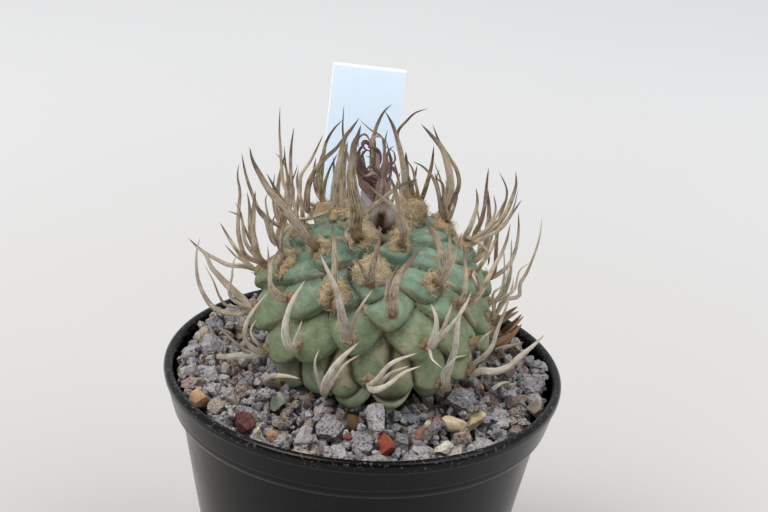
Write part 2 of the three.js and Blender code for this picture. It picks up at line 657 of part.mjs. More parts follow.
// The top of the gravel: a low mound around the stem, broken by the grains.
function bedHeight(x, y) {
  const r = Math.hypot(x, y);
  const mound = BED_MOUND * Math.exp(-Math.pow((r - 15) / 7, 2));
  const rough = Math.sin(x * 1.9 + 1.1) * Math.sin(y * 2.1 - 0.4) + Math.sin((x + y) * 1.3);
  return BED_TOP + mound + 0.3 * rough - 0.9 * Math.max(0, x / BED_RADIUS) * (r > 22 ? 1 : 0);
}
const BED_SIDES = 36;
const BED_RINGS = 8;
function bedRing(r, height) {
  return Array.from({ length: BED_SIDES }, (_, i) => {
    const x = r * Math.sin(2 * Math.PI * i / BED_SIDES);
    const y = -r * Math.cos(2 * Math.PI * i / BED_SIDES);
    return vec(x, y, height ?? bedHeight(x, y));
  });
}
let bed = solid(skin(vec(0, 0, BED_FOOT), [
  bedRing(BED_RADIUS, BED_FOOT),
  ...Array.from({ length: BED_RINGS }, (_, k) => bedRing(BED_RADIUS * (1 - k / BED_RINGS))),
], vec(0, 0, BED_TOP)));
bed = bed.subtract(stemRoom).subtract(labelRoom);
for (const n of [-11, -10, -8]) bed = bed.subtract(padSolid(areole(n), FIT + 0.2));
for (const [k, [name, , , , , , color]] of STONES.entries()) {
  bed = bed.subtract(stoneSolid(k, FIT));
  add(`stone_${name}`, stoneSolid(k, 0), color, 0.85);
}
add('gravel_bed', largest(bed).simplify(0.01), 0x7c7779, 0.9);

// The soil that fills the pot under the gravel, with room for the taproot and the label.
const bandFoot = POT_HEIGHT - BAND_HEIGHT;
const soilWall = (z) => WALL_TOP_RADIUS - WALL_TAPER * (bandFoot - z) - WALL - FIT - 0.1;
const soilProfile = [
  [0, FLOOR + FOOT_RISE + FIT],
  [soilWall(FLOOR) - 1.2, FLOOR + FOOT_RISE + FIT],
  [soilWall(FLOOR + 1.2), FLOOR + FOOT_RISE + 1.2],
  [soilWall(bandFoot - 0.3), bandFoot - 0.3],
  [soilWall(bandFoot - 0.3), SOIL_TOP],
  [0, SOIL_TOP],
];
const soil = solid(new THREE.LatheGeometry(
  soilProfile.map(([r, z]) => new THREE.Vector2(r, z)), 44).rotateX(Math.PI / 2));
add('soil', soil.subtract(stemRoom).subtract(labelRoom), 0x4a4039, 0.95);

export default part;
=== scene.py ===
import json
import math

import bpy
import numpy as np
from mathutils import Matrix, Vector

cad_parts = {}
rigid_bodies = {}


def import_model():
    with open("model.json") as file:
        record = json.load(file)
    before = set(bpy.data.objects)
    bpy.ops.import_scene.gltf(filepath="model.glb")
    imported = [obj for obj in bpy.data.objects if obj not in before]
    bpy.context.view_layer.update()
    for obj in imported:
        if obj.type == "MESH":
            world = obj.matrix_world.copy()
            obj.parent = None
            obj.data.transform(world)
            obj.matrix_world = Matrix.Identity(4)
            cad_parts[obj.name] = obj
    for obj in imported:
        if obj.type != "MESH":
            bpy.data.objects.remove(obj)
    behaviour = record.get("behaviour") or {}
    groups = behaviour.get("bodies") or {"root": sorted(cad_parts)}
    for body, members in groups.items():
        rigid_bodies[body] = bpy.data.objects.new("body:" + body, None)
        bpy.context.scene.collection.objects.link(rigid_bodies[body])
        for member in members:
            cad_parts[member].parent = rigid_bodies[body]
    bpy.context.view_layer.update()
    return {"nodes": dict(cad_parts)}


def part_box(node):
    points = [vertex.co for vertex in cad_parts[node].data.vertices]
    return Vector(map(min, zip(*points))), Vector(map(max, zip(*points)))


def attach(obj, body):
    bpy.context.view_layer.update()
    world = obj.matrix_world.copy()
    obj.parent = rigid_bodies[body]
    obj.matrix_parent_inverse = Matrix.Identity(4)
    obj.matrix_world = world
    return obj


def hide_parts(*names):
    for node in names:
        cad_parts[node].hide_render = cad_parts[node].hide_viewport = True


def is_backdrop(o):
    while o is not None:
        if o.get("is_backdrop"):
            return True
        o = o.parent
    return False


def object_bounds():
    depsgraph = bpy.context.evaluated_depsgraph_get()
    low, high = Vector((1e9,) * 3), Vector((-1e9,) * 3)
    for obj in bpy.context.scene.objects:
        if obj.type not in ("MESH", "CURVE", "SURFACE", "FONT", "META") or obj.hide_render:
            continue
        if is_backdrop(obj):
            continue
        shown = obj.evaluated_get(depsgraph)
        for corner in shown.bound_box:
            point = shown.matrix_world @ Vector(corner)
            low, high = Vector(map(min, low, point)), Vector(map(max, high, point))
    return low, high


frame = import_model()

# The view of the photograph: a long lens a third of a metre off, looking 24 degrees down and
# turned a little about its axis. The spines further down are laid along its sight lines. Lengths
# are written in millimetres and become metres as each mesh is built.
MM = 0.001
ELEVATION, ROLL = math.radians(24.2), math.radians(4.15)
LOOKED_AT, DISTANCE = (2.08, 0, 71.56), 339.35
FOCAL_PIXELS, PHOTO_WIDTH, PHOTO_HEIGHT, SENSOR_WIDTH = 2133, 768, 512, 36
PIXEL = 0.159  # millimetres at the plant
to_eye = np.array([0, -math.cos(ELEVATION), math.sin(ELEVATION)])
image_x = (math.cos(ROLL) * np.array([1.0, 0, 0])
           + math.sin(ROLL) * np.array([0, math.sin(ELEVATION), math.cos(ELEVATION)]))
image_y = np.cross(to_eye, image_x)
eye = np.array(LOOKED_AT) + DISTANCE * to_eye

camera = bpy.data.objects.new("photo_camera", bpy.data.cameras.new("photo_camera"))
camera.data.sensor_width = SENSOR_WIDTH
camera.data.lens = FOCAL_PIXELS / PHOTO_WIDTH * SENSOR_WIDTH
camera.data.clip_start = 0.01
camera.matrix_world = Matrix([[*row, at * MM] for row, at in zip(
    np.array([image_x, image_y, to_eye]).T.tolist(), eye)] + [[0, 0, 0, 1]])
bpy.context.scene.collection.objects.link(camera)
bpy.context.scene.camera = camera
bpy.context.scene.view_settings.view_transform = "Standard"


def sight_line(pixel):
    """Direction from the eye through a pixel of the photograph."""
    line = (-FOCAL_PIXELS * to_eye + (pixel[0] - PHOTO_WIDTH / 2) * image_x
            + (PHOTO_HEIGHT / 2 - pixel[1]) * image_y)
    return line / np.linalg.norm(line)


def on_plane(pixel, depth):
    """Where that sight line crosses the upright plane y = depth."""
    line = sight_line(pixel)
    return eye + line * (depth - eye[1]) / line[1]


def on_level(pixel, height):
    """Where that sight line crosses the level plane z = height."""
    line = sight_line(pixel)
    return eye + line * (height - eye[2]) / line[2]


# The room: a pale table top, a soft window light from the upper left, a weaker one from the
# right and a bright surround that is dimmer behind the camera, so the black pot keeps its depth.
def new_piece(name, points, faces, layers=(), edges=()):
    """A smooth mesh object from points in millimetres, with named numbers or vectors on them."""
    mesh = bpy.data.meshes.new(name)
    mesh.from_pydata((np.asarray(points, float) * MM).tolist(), list(edges), faces)
    for label, values in dict(layers).items():
        values = np.asarray(values, np.float32)
        kind, field = ("FLOAT_VECTOR", "vector") if values.ndim == 2 else ("FLOAT", "value")
        mesh.attributes.new(label, kind, "POINT").data.foreach_set(field, values.ravel())
    mesh.polygons.foreach_set("use_smooth", [True] * len(mesh.polygons))
    mesh.update()
    piece = bpy.data.objects.new(name, mesh)
    bpy.context.scene.collection.objects.link(piece)
    return piece


class Wire:
    """A socket of a node tree. Python's operators on it add the Math or Vector Math node."""

    def __init__(self, bench, socket):
        self.bench, self.socket = bench, socket

    def also(self, name):
        """Another output of the same node."""
        node = self.socket.node
        return Wire(self.bench, next(s for s in node.outputs if s.enabled and s.name == name))

    def work(self, operation, *values):
        """One operation on this socket and those values; on vectors if any of them is one."""
        values = [self, *values]
        vector = any(isinstance(v, Wire) and v.socket.type == "VECTOR" for v in values)
        if not vector:
            return self.bench.node("ShaderNodeMath", {"operation": operation}, values)
        values = [(v,) * 3 if isinstance(v, (int, float)) else v for v in values]
        return self.bench.node("ShaderNodeVectorMath", {"operation": operation}, values)

    def __rsub__(self, other):
        return (self * -1) + other

    def __rtruediv__(self, other):
        return self.work("POWER", -1) * other

    def __abs__(self):
        return self.work("ABSOLUTE")

    def held(self):
        """Kept between 0 and 1."""
        return self.at_least(0.0).at_most(1.0)

    def step(self, low, high):
        """Rises smoothly from 0 at low to 1 at high."""
        return self.bench.node("ShaderNodeMapRange", {"interpolation_type": "SMOOTHSTEP"},
                               {"Value": self, "From Min": low, "From Max": high})


for method, operation in (
        ("__add__", "ADD"), ("__radd__", "ADD"), ("__sub__", "SUBTRACT"), ("__mul__", "MULTIPLY"),
        ("__rmul__", "MULTIPLY"), ("__truediv__", "DIVIDE"), ("__pow__", "POWER"),
        ("__lt__", "LESS_THAN"), ("__gt__", "GREATER_THAN"), ("at_most", "MINIMUM"),
        ("at_least", "MAXIMUM")):
    setattr(Wire, method, lambda self, other, operation=operation: self.work(operation, other))


class Bench:
    """Adds nodes to one node tree."""

    def __init__(self, tree):
        self.tree = tree

    def node(self, kind, settings=(), sockets=(), output=None):
        """A node of that type: its settings first, then each socket's value or link."""
        made = self.tree.nodes.new(kind)
        for setting, value in dict(settings).items():
            if setting == "stops":
                while len(made.color_ramp.elements) < len(value):
                    made.color_ramp.elements.new(0.5)
                for element, (at, colour) in zip(made.color_ramp.elements, value):
                    element.position = at
                    element.color = (*colour, 1)
            else:
                setattr(made, setting, value)
        given = sockets.items() if isinstance(sockets, dict) else enumerate(sockets)
        for key, value in given:
            shown = [s for s in made.inputs if s.enabled]
            socket = shown[key] if isinstance(key, int) else next(s for s in shown if s.name == key)
            if isinstance(value, Wire):
                self.tree.links.new(value.socket, socket)
            elif socket.type == "RGBA":
                socket.default_value = (*value, 1)
            else:
                socket.default_value = value
        shown = [s for s in made.outputs if s.enabled]
        if shown:
            return Wire(self, shown[0] if output is None else
                        next(s for s in shown if s.name == output))

    def part(self, vector, axis):
        """One of a vector's three numbers."""
        return self.node("ShaderNodeSeparateXYZ", sockets=[vector], output=axis)

    def blend(self, share, first, second):
        """Two colours mixed by a share between 0 and 1."""
        return self.node("ShaderNodeMix", {"data_type": "RGBA"},
                         {"Factor": share, "A": first, "B": second})


class Finish(Bench):
    """A material: constants on its shader, then what varies over the surface."""

    def __init__(self, name, **constants):
        self.material = bpy.data.materials.new(name)
        self.material.use_nodes = True
        super().__init__(self.material.node_tree)
        self.shader = self.tree.nodes["Principled BSDF"]
        for label, value in constants.items():
            socket = self.socket(label)
            socket.default_value = (*value, 1) if socket.type == "RGBA" else value
        self.place = self.node("ShaderNodeTexCoord", output="Object") * (1 / MM)

    def socket(self, name):
        """The shader's socket of that name."""
        return self.shader.inputs[name.replace("_", " ").title().replace("Ior", "IOR")]

    def layer(self, name, output="Fac"):
        """A named number or vector of the mesh."""
        return self.node("ShaderNodeAttribute", {"attribute_name": name}, output=output)

    def noise(self, size, detail=3.0, roughness=0.5, place=None, warp=0.0):
        """Cloudy noise between 0 and 1 whose patches are that many millimetres across."""
        return self.node("ShaderNodeTexNoise", sockets={
            "Vector": self.place if place is None else place, "Scale": 1 / size, "Detail": detail,
            "Roughness": roughness, "Distortion": warp})

    def cells(self, size):
        """Distance from the middle of each cell, of cells that many millimetres across."""
        return self.node("ShaderNodeTexVoronoi", sockets={
            "Vector": self.place, "Scale": 1 / size}, output="Distance")

    def height(self):
        """Millimetres above the table."""
        return self.part(self.place, "Z")

    def coated(self, colour, *coats):
        """A colour with coats of others over it, each by its share."""
        for share, over in coats:
            colour = self.blend(share, colour, over)
        return colour

    def ramp(self, value, *stops):
        """Colours laid along a value from 0 to 1."""
        return self.node("ShaderNodeValToRGB", {"stops": stops}, {"Fac": value}, "Color")

    def bump(self, height, depth):
        """Relief of that many millimetres from a height between 0 and 1."""
        return self.node("ShaderNodeBump", sockets={"Height": height, "Distance": depth * MM})

    def wear(self, **varying):
        """Links what varies to the shader's sockets."""
        for label, wire in varying.items():
            self.tree.links.new(wire.socket, self.socket(label))
        return self.material


TABLE_REACH = 3000
floor = new_piece("table_top", [(x * TABLE_REACH, y * TABLE_REACH, 0) for x, y in (
    (-1, -1), (1, -1), (1, 1), (-1, 1))], [(0, 1, 2, 3)])
paper = Finish("pale_table_top", roughness=0.75)
# Painted shade: the table top is darkened round the pot, a painted contact shadow.
near = 1 - paper.place.work("LENGTH").step(40, 330)
plain = paper.blend(paper.noise(90, 2), (0.690, 0.693, 0.699), (0.714, 0.717, 0.723))
floor.data.materials.append(paper.wear(
    Base_Color=paper.blend(near * 0.66, plain, (0.50, 0.475, 0.45))))
floor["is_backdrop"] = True

surround = bpy.data.worlds.new("surround")
bpy.context.scene.world = surround
surround.use_nodes = True
room = Bench(surround.node_tree)
direction = room.node("ShaderNodeTexCoord", output="Generated")
towards_back = room.part(direction, "Y")
tone = room.blend(towards_back.step(-0.95, 0.1) * 0.80 + 0.16, (0, 0, 0), (0.80, 0.81, 0.82))
sky = surround.node_tree.nodes["Background"]
room.tree.links.new(tone.socket, sky.inputs["Color"])
sky.inputs["Strength"].default_value = 0.95


def soft_light(name, place, power, size, colour):
    """A square soft box that looks at the middle of the plant."""
    light = bpy.data.lights.new(name, "AREA")
    light.energy, light.size, light.color = power, size, colour
    lamp = bpy.data.objects.new(name, light)
    lamp.location = place
    lamp.rotation_euler = (Vector((0, 0, 0.06)) - Vector(place)).to_track_quat("-Z", "Y").to_euler()
    bpy.context.scene.collection.objects.link(lamp)


soft_light("window", (-0.45, -0.30, 0.85), 7.0, 0.5, (1.0, 0.985, 0.96))
soft_light("fill", (0.52, -0.25, 0.68), 3.1, 0.6, (0.97, 0.98, 1.0))


# The pot: one injection-moulded shell of black plastic with a deep band under its rim, a foot
# ring and four drainage holes. Its mould leaves a soft sheen and two faint witness lines, and
# watering leaves lime specks on the rim.
POT_HEIGHT, BAND_FOOT, WALL_TOP_RADIUS, WALL_TAPER, WALL = 52, 44.6, 29.5, 0.191, 1.1
HOLE_RADIUS, HOLE_RING, HOLE_COUNT = 3.2, 12.5, 4


def pot_wall(height):
    """Radius of the tapered wall outside."""
    return WALL_TOP_RADIUS - WALL_TAPER * (BAND_FOOT - height)


# Each corner of the shell's section: radius, height, and how far off the corner its arc starts.
pot_section = [
    (0, 1.0, 0), (pot_wall(0) - 3.2, 1.0, 0.3), (pot_wall(0) - 2.7, 0.05, 0.3),
    (pot_wall(0) - 0.7, 0, 0.4), (pot_wall(0.8), 0.8, 0.4),
    (pot_wall(BAND_FOOT), BAND_FOOT + 0.2, 0.25), (30.25, BAND_FOOT, 0.25),
    (30.75, BAND_FOOT + 0.8, 0.4), (30.95, BAND_FOOT + 1.8, 0.2), (31.05, BAND_FOOT + 1.9, 0.1),
    (32.0, POT_HEIGHT - 1.95, 0.2), (32.22, POT_HEIGHT - 1.8, 0.15),
    (32.4, POT_HEIGHT - 0.65, 0.3), (32.05, POT_HEIGHT - 0.05, 0.35), (31.3, POT_HEIGHT, 0.3),
    (30.9, POT_HEIGHT - 0.45, 0.3), (30.8, BAND_FOOT + 1.6, 1.0),
    (pot_wall(BAND_FOOT) - WALL, BAND_FOOT, 1.0), (pot_wall(1.4) - WALL, 3.0, 0.5),
    (pot_wall(1.4) - 2.1, 2.4, 0.6), (0, 2.4, 0)]


def rounded(section, steps=4):
    """The section's corners, each turned into an arc that starts its own radius away."""
    course = [np.array(section[0][:2], float)]
    for before, here, after in zip(section, section[1:], section[2:]):
        corner, radius = np.array(here[:2], float), here[2]
        ends = []
        for other in (before, after):
            away = np.array(other[:2], float) - corner
            length = np.linalg.norm(away)
            ends.append(corner + away * min(radius, 0.45 * length) / length)
        for t in np.linspace(0, 1, steps + 1):
            course.append((1 - t) ** 2 * ends[0] + 2 * t * (1 - t) * corner + t * t * ends[1])
    course.append(np.array(section[-1][:2], float))
    return course


def turned(course, sides, centre=(0, 0)):
    """Points and faces of a section turned about an upright axis; ends on the axis are poles."""
    angles = 2 * np.pi * np.arange(sides) / sides
    return ringed([[(centre[0], centre[1], height)] if radius < 1e-6 else [
        (centre[0] + radius * math.sin(a), centre[1] - radius * math.cos(a), height)
        for a in angles] for radius, height in course])


def ringed(rows):
    """Points and faces of a skin through rows of points; a row of one point is a pole."""
    points, rings = [], []
    for row in rows:
        rings.append(range(len(points), len(points) + len(row)))
        points.extend(row)
    return points, bridged(rings)


def bridged(rings):
    """Faces between rings of point numbers; a ring of one point is a pole."""
    faces = []
    for low, high in zip(rings, rings[1:]):
        sides = max(len(low), len(high))
        for i in range(sides):
            j = (i + 1) % sides
            if len(low) == 1:
                faces.append((low[0], high[j], high[i]))
            elif len(high) == 1:
                faces.append((low[i], low[j], high[0]))
            else:
                faces.append((low[i], low[j], high[j], high[i]))
    return faces


def settled(piece, finish, slot, *nodes):
    """Gives a piece its finish and seats it on the part's one body; its slot is not used."""
    piece.data.materials.clear()
    piece.data.materials.append(finish)
    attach(piece, "root")
    if nodes:
        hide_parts(*nodes)
    return piece


def evaluated(piece):
    """The piece with its modifiers made into its plain mesh."""
    made = bpy.data.meshes.new_from_object(
        piece.evaluated_get(bpy.context.evaluated_depsgraph_get()), preserve_all_data_layers=True,
        depsgraph=bpy.context.evaluated_depsgraph_get())
    piece.modifiers.clear()
    old, piece.data = piece.data, made
    made.name = piece.name
    bpy.data.meshes.remove(old)
    return piece


pot_shell = new_piece("pot_shell", *turned(rounded(pot_section), 168))
drill_points, drill_faces = [], []
for i in range(HOLE_COUNT):
    angle = (i + 0.5) * 2 * math.pi / HOLE_COUNT
    points, faces = turned([(0, -2), (HOLE_RADIUS, -2), (HOLE_RADIUS, 6), (0, 6)], 40,
                           (HOLE_RING * math.cos(angle), HOLE_RING * math.sin(angle)))
    drill_faces += [tuple(k + len(drill_points) for k in face) for face in faces]
    drill_points += points
drills = new_piece("drills", drill_points, drill_faces)
holes = pot_shell.modifiers.new("holes", "BOOLEAN")
holes.operation, holes.object, holes.solver = "DIFFERENCE", drills, "EXACT"
evaluated(pot_shell)
bpy.data.objects.remove(drills)

plastic = Finish("black_plastic", specular_ior_level=0.19)
rim_share = plastic.height().step(49.6, 51.6)
specks = (plastic.cells(0.55) < 0.17) * (plastic.noise(3.5, 2) > 0.56)
crust = rim_share * plastic.noise(0.7, 4).step(0.56, 0.75)
lime = (specks * (rim_share * 0.34 + 0.08) + crust * 0.35).held()
film = plastic.noise(7, 4, 0.6).step(0.42, 0.8)
base = plastic.blend(film * 0.5 + rim_share * 0.25,
                     (0.0008, 0.0008, 0.0010), (0.004, 0.004, 0.0045))
settled(pot_shell, plastic.wear(
    Base_Color=plastic.blend(lime, base, (0.25, 0.25, 0.245)),
    Roughness=plastic.noise(2.2, 4) * 0.1 + film * 0.08 + lime * 0.3 + 0.15,
    Normal=plastic.bump(plastic.noise(0.35, 3) + lime * 1.5, 0.012)), "pot_plastic", "pot")


# The soil: a mineral mix with a little peat that fills the pot under the gravel. It hardly shows,
# and keeps its modelled shape.
earth = Finish("soil_mix", roughness=0.95)
crumbs = earth.noise(1.6, 6, 0.65)
grains = (earth.cells(0.9) < 0.22) * (earth.noise(4, 2) > 0.5)
mix = earth.blend(crumbs.step(0.3, 0.75), (0.030, 0.022, 0.017), (0.105, 0.080, 0.060))
soil = frame["nodes"]["soil"]
soil.data.materials.clear()
soil.data.materials.append(earth.wear(
    Base_Color=earth.blend(grains, mix, (0.33, 0.29, 0.24)),
    Normal=earth.bump(crumbs + earth.cells(0.8) * 0.6, 0.5)))


# The stem: a flattened globe of overlapping tubercles in 8 and 13 spirals, grown in one with its
# taproot. Each tubercle is a long shield: its face slopes up and out to the areole, and its
# rounded chin stands over the ones below. The skin is matt, blue-green and waxy.
AXIS_X, EQUATOR_Z, BODY_RADIUS = 0.8, 61.0, 19.6
UPPER_HALF, LOWER_HALF, SQUARENESS = 17.5, 13.5, 2.3
FIRST_AREOLE, LAST_AREOLE = -24, 60
START_ANGLE, DIVERGENCE, START_Z, CELL_AREA, FULL_CELL_RADIUS = 0.9, 137.508, 59.2, 60, 18
STEM_SIDES, STEM_RINGS = 396, 222

OUTLINE_STEPS = 400
lean = (np.arange(OUTLINE_STEPS + 1) / OUTLINE_STEPS - 0.5) * np.pi
outline_r = BODY_RADIUS * np.abs(np.cos(lean)) ** (2 / SQUARENESS)
outline_z = EQUATOR_Z + np.where(lean > 0, UPPER_HALF, LOWER_HALF) * np.sign(lean) * np.abs(
    np.sin(lean)) ** (2 / SQUARENESS)
outline_s = np.concatenate([[0], np.cumsum(np.hypot(np.diff(outline_r), np.diff(outline_z)))])


def outline_at(length):
    """Radius, height and outward slope of the outline at a length from the lower pole."""
    length = np.clip(length, 0, outline_s[-1])
    i = np.clip(np.searchsorted(outline_s, length), 1, OUTLINE_STEPS)
    step = outline_s[i] - outline_s[i - 1]
    t = (length - outline_s[i - 1]) / step
    run, climb = outline_r[i] - outline_r[i - 1], outline_z[i] - outline_z[i - 1]
    return outline_r[i - 1] + t * run, outline_z[i - 1] + t * climb, climb / step, -run / step


def body_point(turn, length, lift):
    """A point on the body at a turn about its axis, a length up the outline and a lift off it."""
    r, z, slope_r, slope_z = outline_at(length)
    r = np.maximum(r + lift * slope_r, 0)
    return np.stack(np.broadcast_arrays(
        AXIS_X + r * np.sin(turn), -r * np.cos(turn), z + lift * slope_z), -1)


# The areoles that the photograph shows clearly, each number at its own pixel.
SEEN_AREOLES = {
    -16: (305, 395), -11: (268, 384), -10: (470, 372), -8: (326, 391), -5: (441, 384),
    -3: (265, 352), 0: (369, 382), 3: (474, 344), 5: (297, 348), 8: (427, 346), 10: (254, 308),
    13: (350, 340), 16: (458, 305), 18: (288, 299), 21: (392, 314), 24: (472, 274),
    26: (335, 292), 29: (435, 284), 31: (287, 262), 32: (464, 245), 34: (370, 285),
    39: (319, 250), 42: (400, 247), 47: (359, 241)}
# The small pads squeezed against the gravel: pixel, size, how far each stands out in millimetres,
# and how far beside its worn areole the pad's middle lies.
FOOT_PADS = {-26: ((390, 403), 0.55, 1.1, 0), -25: ((345, 401), 0.62, 1.05, 1.3),
             -21: ((343, 394), 0.55, 0.9, 0), -13: ((404, 397), 0.85, 0.75, -2.4)}


def seen_place(pixel):
    """Turn and length up the outline where a sight line first meets the body, or passes closest."""
    line = sight_line(pixel)
    steps = DISTANCE - 40 + 0.1 * np.arange(700)
    track = eye + steps[:, None] * line
    half = np.where(track[:, 2] > EQUATOR_Z, UPPER_HALF, LOWER_HALF)
    outside = ((np.hypot(track[:, 0] - AXIS_X, track[:, 1]) / BODY_RADIUS) ** SQUARENESS
               + (np.abs(track[:, 2] - EQUATOR_Z) / half) ** SQUARENESS - 1)
    inside = np.flatnonzero(outside <= 0)
    x, y, z = track[inside[0] if len(inside) else outside.argmin()]
    return math.atan2(x - AXIS_X, -y), float(np.interp(z, outline_z, outline_s))


areoles = {}
base_length = float(np.interp(START_Z, outline_z, outline_s))
length = base_length
for n in range(LAST_AREOLE + 1):
    areoles[n] = (math.radians(START_ANGLE + DIVERGENCE * n), length)
    radius = float(outline_at(length)[0])
    length += CELL_AREA * min(1, radius / FULL_CELL_RADIUS) / (2 * math.pi * max(radius, 1))
for n in range(FIRST_AREOLE, 0):
    areoles[n] = (math.radians(START_ANGLE + DIVERGENCE * n),
                  base_length + n * CELL_AREA / (2 * math.pi * 19))
areoles.update({n: seen_place(pixel) for n, pixel in SEEN_AREOLES.items()})
areoles.update({n: seen_place(pad[0]) for n, pad in FOOT_PADS.items()})
areole_size = {n: FOOT_PADS[n][1] if n in FOOT_PADS else math.sqrt(min(
    1, float(outline_at(s)[0]) / FULL_CELL_RADIUS)) for n, (turn, s) in areoles.items()}

numbers = sorted(areoles)
areole_points = new_piece("areole_points", [body_point(*areoles[n], 0) for n in numbers], [], {
    "turn": [areoles[n][0] for n in numbers], "length": [areoles[n][1] for n in numbers],
    "size": [areole_size[n] for n in numbers], "number": numbers,
    "chin_length": np.interp(numbers, (-14, -2, 8), (0.9, 1.7, 2.9)),
    "chin_rise": np.interp(numbers, (0, 13), (2.6, 4.1)),
    "centre": [FOOT_PADS[n][3] if n in FOOT_PADS else -2 * math.sin(areoles[n][0])
               if n in SEEN_AREOLES else 0 for n in numbers],
    "shrunk": [-FOOT_PADS[n][2] if n in FOOT_PADS else
               np.interp(n, (-24, -13, -11), (1.6, 0.5, 0)) for n in numbers]})


class Growth(Bench):
    """A Geometry Nodes tree with named inputs that ends in one realized mesh."""

    KINDS = {float: "NodeSocketFloat", int: "NodeSocketInt", "object": "NodeSocketObject",
             "collection": "NodeSocketCollection", "finish": "NodeSocketMaterial"}

    def __init__(self, name, **inputs):
        super().__init__(bpy.data.node_groups.new(name, "GeometryNodeTree"))
        face = self.tree.interface
        face.new_socket("Shape", in_out="INPUT", socket_type="NodeSocketGeometry")
        face.new_socket("Shape", in_out="OUTPUT", socket_type="NodeSocketGeometry")
        self.names = {}
        for label, kind in {**inputs, "Finish": "finish"}.items():
            label = label.replace("_", " ")
            self.names[label] = face.new_socket(
                label, in_out="INPUT", socket_type=self.KINDS[kind]).identifier
        self.entry = self.tree.nodes.new("NodeGroupInput")
        self.shape = self.given("Shape")

    def given(self, name):
        """One of the tree's inputs."""
        return Wire(self, self.entry.outputs[name])

    def layer(self, name, kind="FLOAT"):
        """A named number or vector of the shape."""
        return self.node("GeometryNodeInputNamedAttribute", {"data_type": kind}, {"Name": name})

    def keep(self, shape, name, value, kind="FLOAT"):
        """Writes a named number or vector on the shape's points."""
        return self.node("GeometryNodeStoreNamedAttribute", {"data_type": kind},
                         {"Geometry": shape, "Name": name, "Value": value})

    def moved(self, shape, offset):
        """The shape with its points moved by an offset."""
        return self.node("GeometryNodeSetPosition", sockets={"Geometry": shape, "Offset": offset})

    def noise(self, place, size, detail):
        """Noise whose patches are that many millimetres across; its middle is a half."""
        return self.node("ShaderNodeTexNoise", sockets={
            "Vector": place, "Scale": 1 / (size * MM), "Detail": detail})

    def scaled(self, vector, amount):
        """A vector times a number."""
        return self.node("ShaderNodeVectorMath", {"operation": "SCALE"},
                         {"Vector": vector, "Scale": amount})

    def strewn(self, points, shapes, pick, turn, scale):
        """A collection's shapes on points, one picked for each, with its turn and scale."""
        kinds = self.node("GeometryNodeCollectionInfo", sockets={
            "Collection": shapes, "Separate Children": True, "Reset Children": True})
        return self.node("GeometryNodeInstanceOnPoints", sockets={
            "Points": points, "Instance": kinds, "Pick Instance": True, "Instance Index": pick,
            "Rotation": turn, "Scale": scale})

    def end(self, shape, smooth=True):
        """Realizes the shape, gives it its finish and closes the tree."""
        shape = self.node("GeometryNodeRealizeInstances", sockets={"Geometry": shape})
        shape = self.node("GeometryNodeSetShadeSmooth",
                          sockets={"Geometry": shape, "Shade Smooth": smooth})
        shape = self.node("GeometryNodeSetMaterial",
                          sockets={"Geometry": shape, "Material": self.given("Finish")})
        exit_node = self.tree.nodes.new("NodeGroupOutput")
        self.tree.links.new(shape.socket, exit_node.inputs[0])

    def grow(self, piece, finish, **values):
        """Runs the tree on a piece with those inputs and leaves the result as its plain mesh."""
        step = piece.modifiers.new(self.tree.name, "NODES")
        step.node_group = self.tree
        for label, value in {**values, "Finish": finish}.items():
            step[self.names[label.replace("_", " ")]] = value
        return evaluated(piece)


# The rule for the skin: over each point the tubercle that stands highest wins. Its face falls
# away up the stem and to its sides, and its chin drops steeply past a rounded, pointed edge.
tubercles = Growth("tubercle_skin", Areoles="object", Count=int, Face_depth=float, Side_depth=float,
                   Half_width=float, Chin_drop=float, Wrinkle=float, Groove_depth=float)
areole_shape = tubercles.node("GeometryNodeObjectInfo", output="Geometry", sockets={
    "Object": tubercles.given("Areoles")})
opening = tubercles.node("GeometryNodeRepeatInput").socket.node
closing = tubercles.tree.nodes.new("GeometryNodeRepeatOutput")
opening.pair_with_output(closing)
tubercles.tree.links.new(tubercles.given("Count").socket, opening.inputs["Iterations"])
tubercles.tree.links.new(tubercles.shape.socket, opening.inputs["Geometry"])
turn_number = Wire(tubercles, opening.outputs["Iteration"])
shape = Wire(tubercles, opening.outputs["Geometry"])


def of_areole(label):
    """That number of the areole whose turn it is."""
    return tubercles.node("GeometryNodeSampleIndex", {"data_type": "FLOAT"}, {
        "Geometry": areole_shape, "Value": tubercles.layer(label), "Index": turn_number})


size = of_areole("size")
side = tubercles.layer("turn") - of_areole("turn")
side = side - (side / (2 * math.pi)).work("ROUND") * (2 * math.pi)
beside = side * tubercles.layer("girth").at_least(1.0) / size
across = beside - of_areole("centre")
up = (tubercles.layer("length") - of_areole("length")) / size
reach = abs(across) / tubercles.given("Half width")
chin = up + of_areole("chin_length") - (reach ** 1.75) * of_areole("chin_rise")
edge = (1 - chin / 1.1).held()
drop = (1 - (1 - edge * edge).at_least(0.0) ** 0.5) * tubercles.given("Chin drop")
face = ((up + 0.6).at_least(0.0) / 6.5) ** 1.25 * tubercles.given("Face depth")
sides = reach * reach * tubercles.given("Side depth")
rise = (face + sides + drop + (chin * -4).at_least(0.0)) * size * -1 - of_areole("shrunk")
highest = rise > tubercles.layer("rise")
from_areole = (beside * beside + up * up) ** 0.5
for label, value in (
        ("chin", chin), ("from_areole", from_areole), ("number", of_areole("number"))):
    old = tubercles.layer(label)
    shape = tubercles.keep(shape, label, old + (value - old) * highest)
shape = tubercles.keep(shape, "second", tubercles.layer("second").at_least(
    tubercles.layer("rise").at_most(rise)))
shape = tubercles.keep(shape, "rise", tubercles.layer("rise").at_least(rise))
tubercles.tree.links.new(shape.socket, closing.inputs["Geometry"])
shape = Wire(tubercles, closing.outputs["Geometry"])
place = tubercles.node("GeometryNodeInputPosition")
wrinkle = (tubercles.noise(place, 1.3, 3) - 0.5) * tubercles.given("Wrinkle")
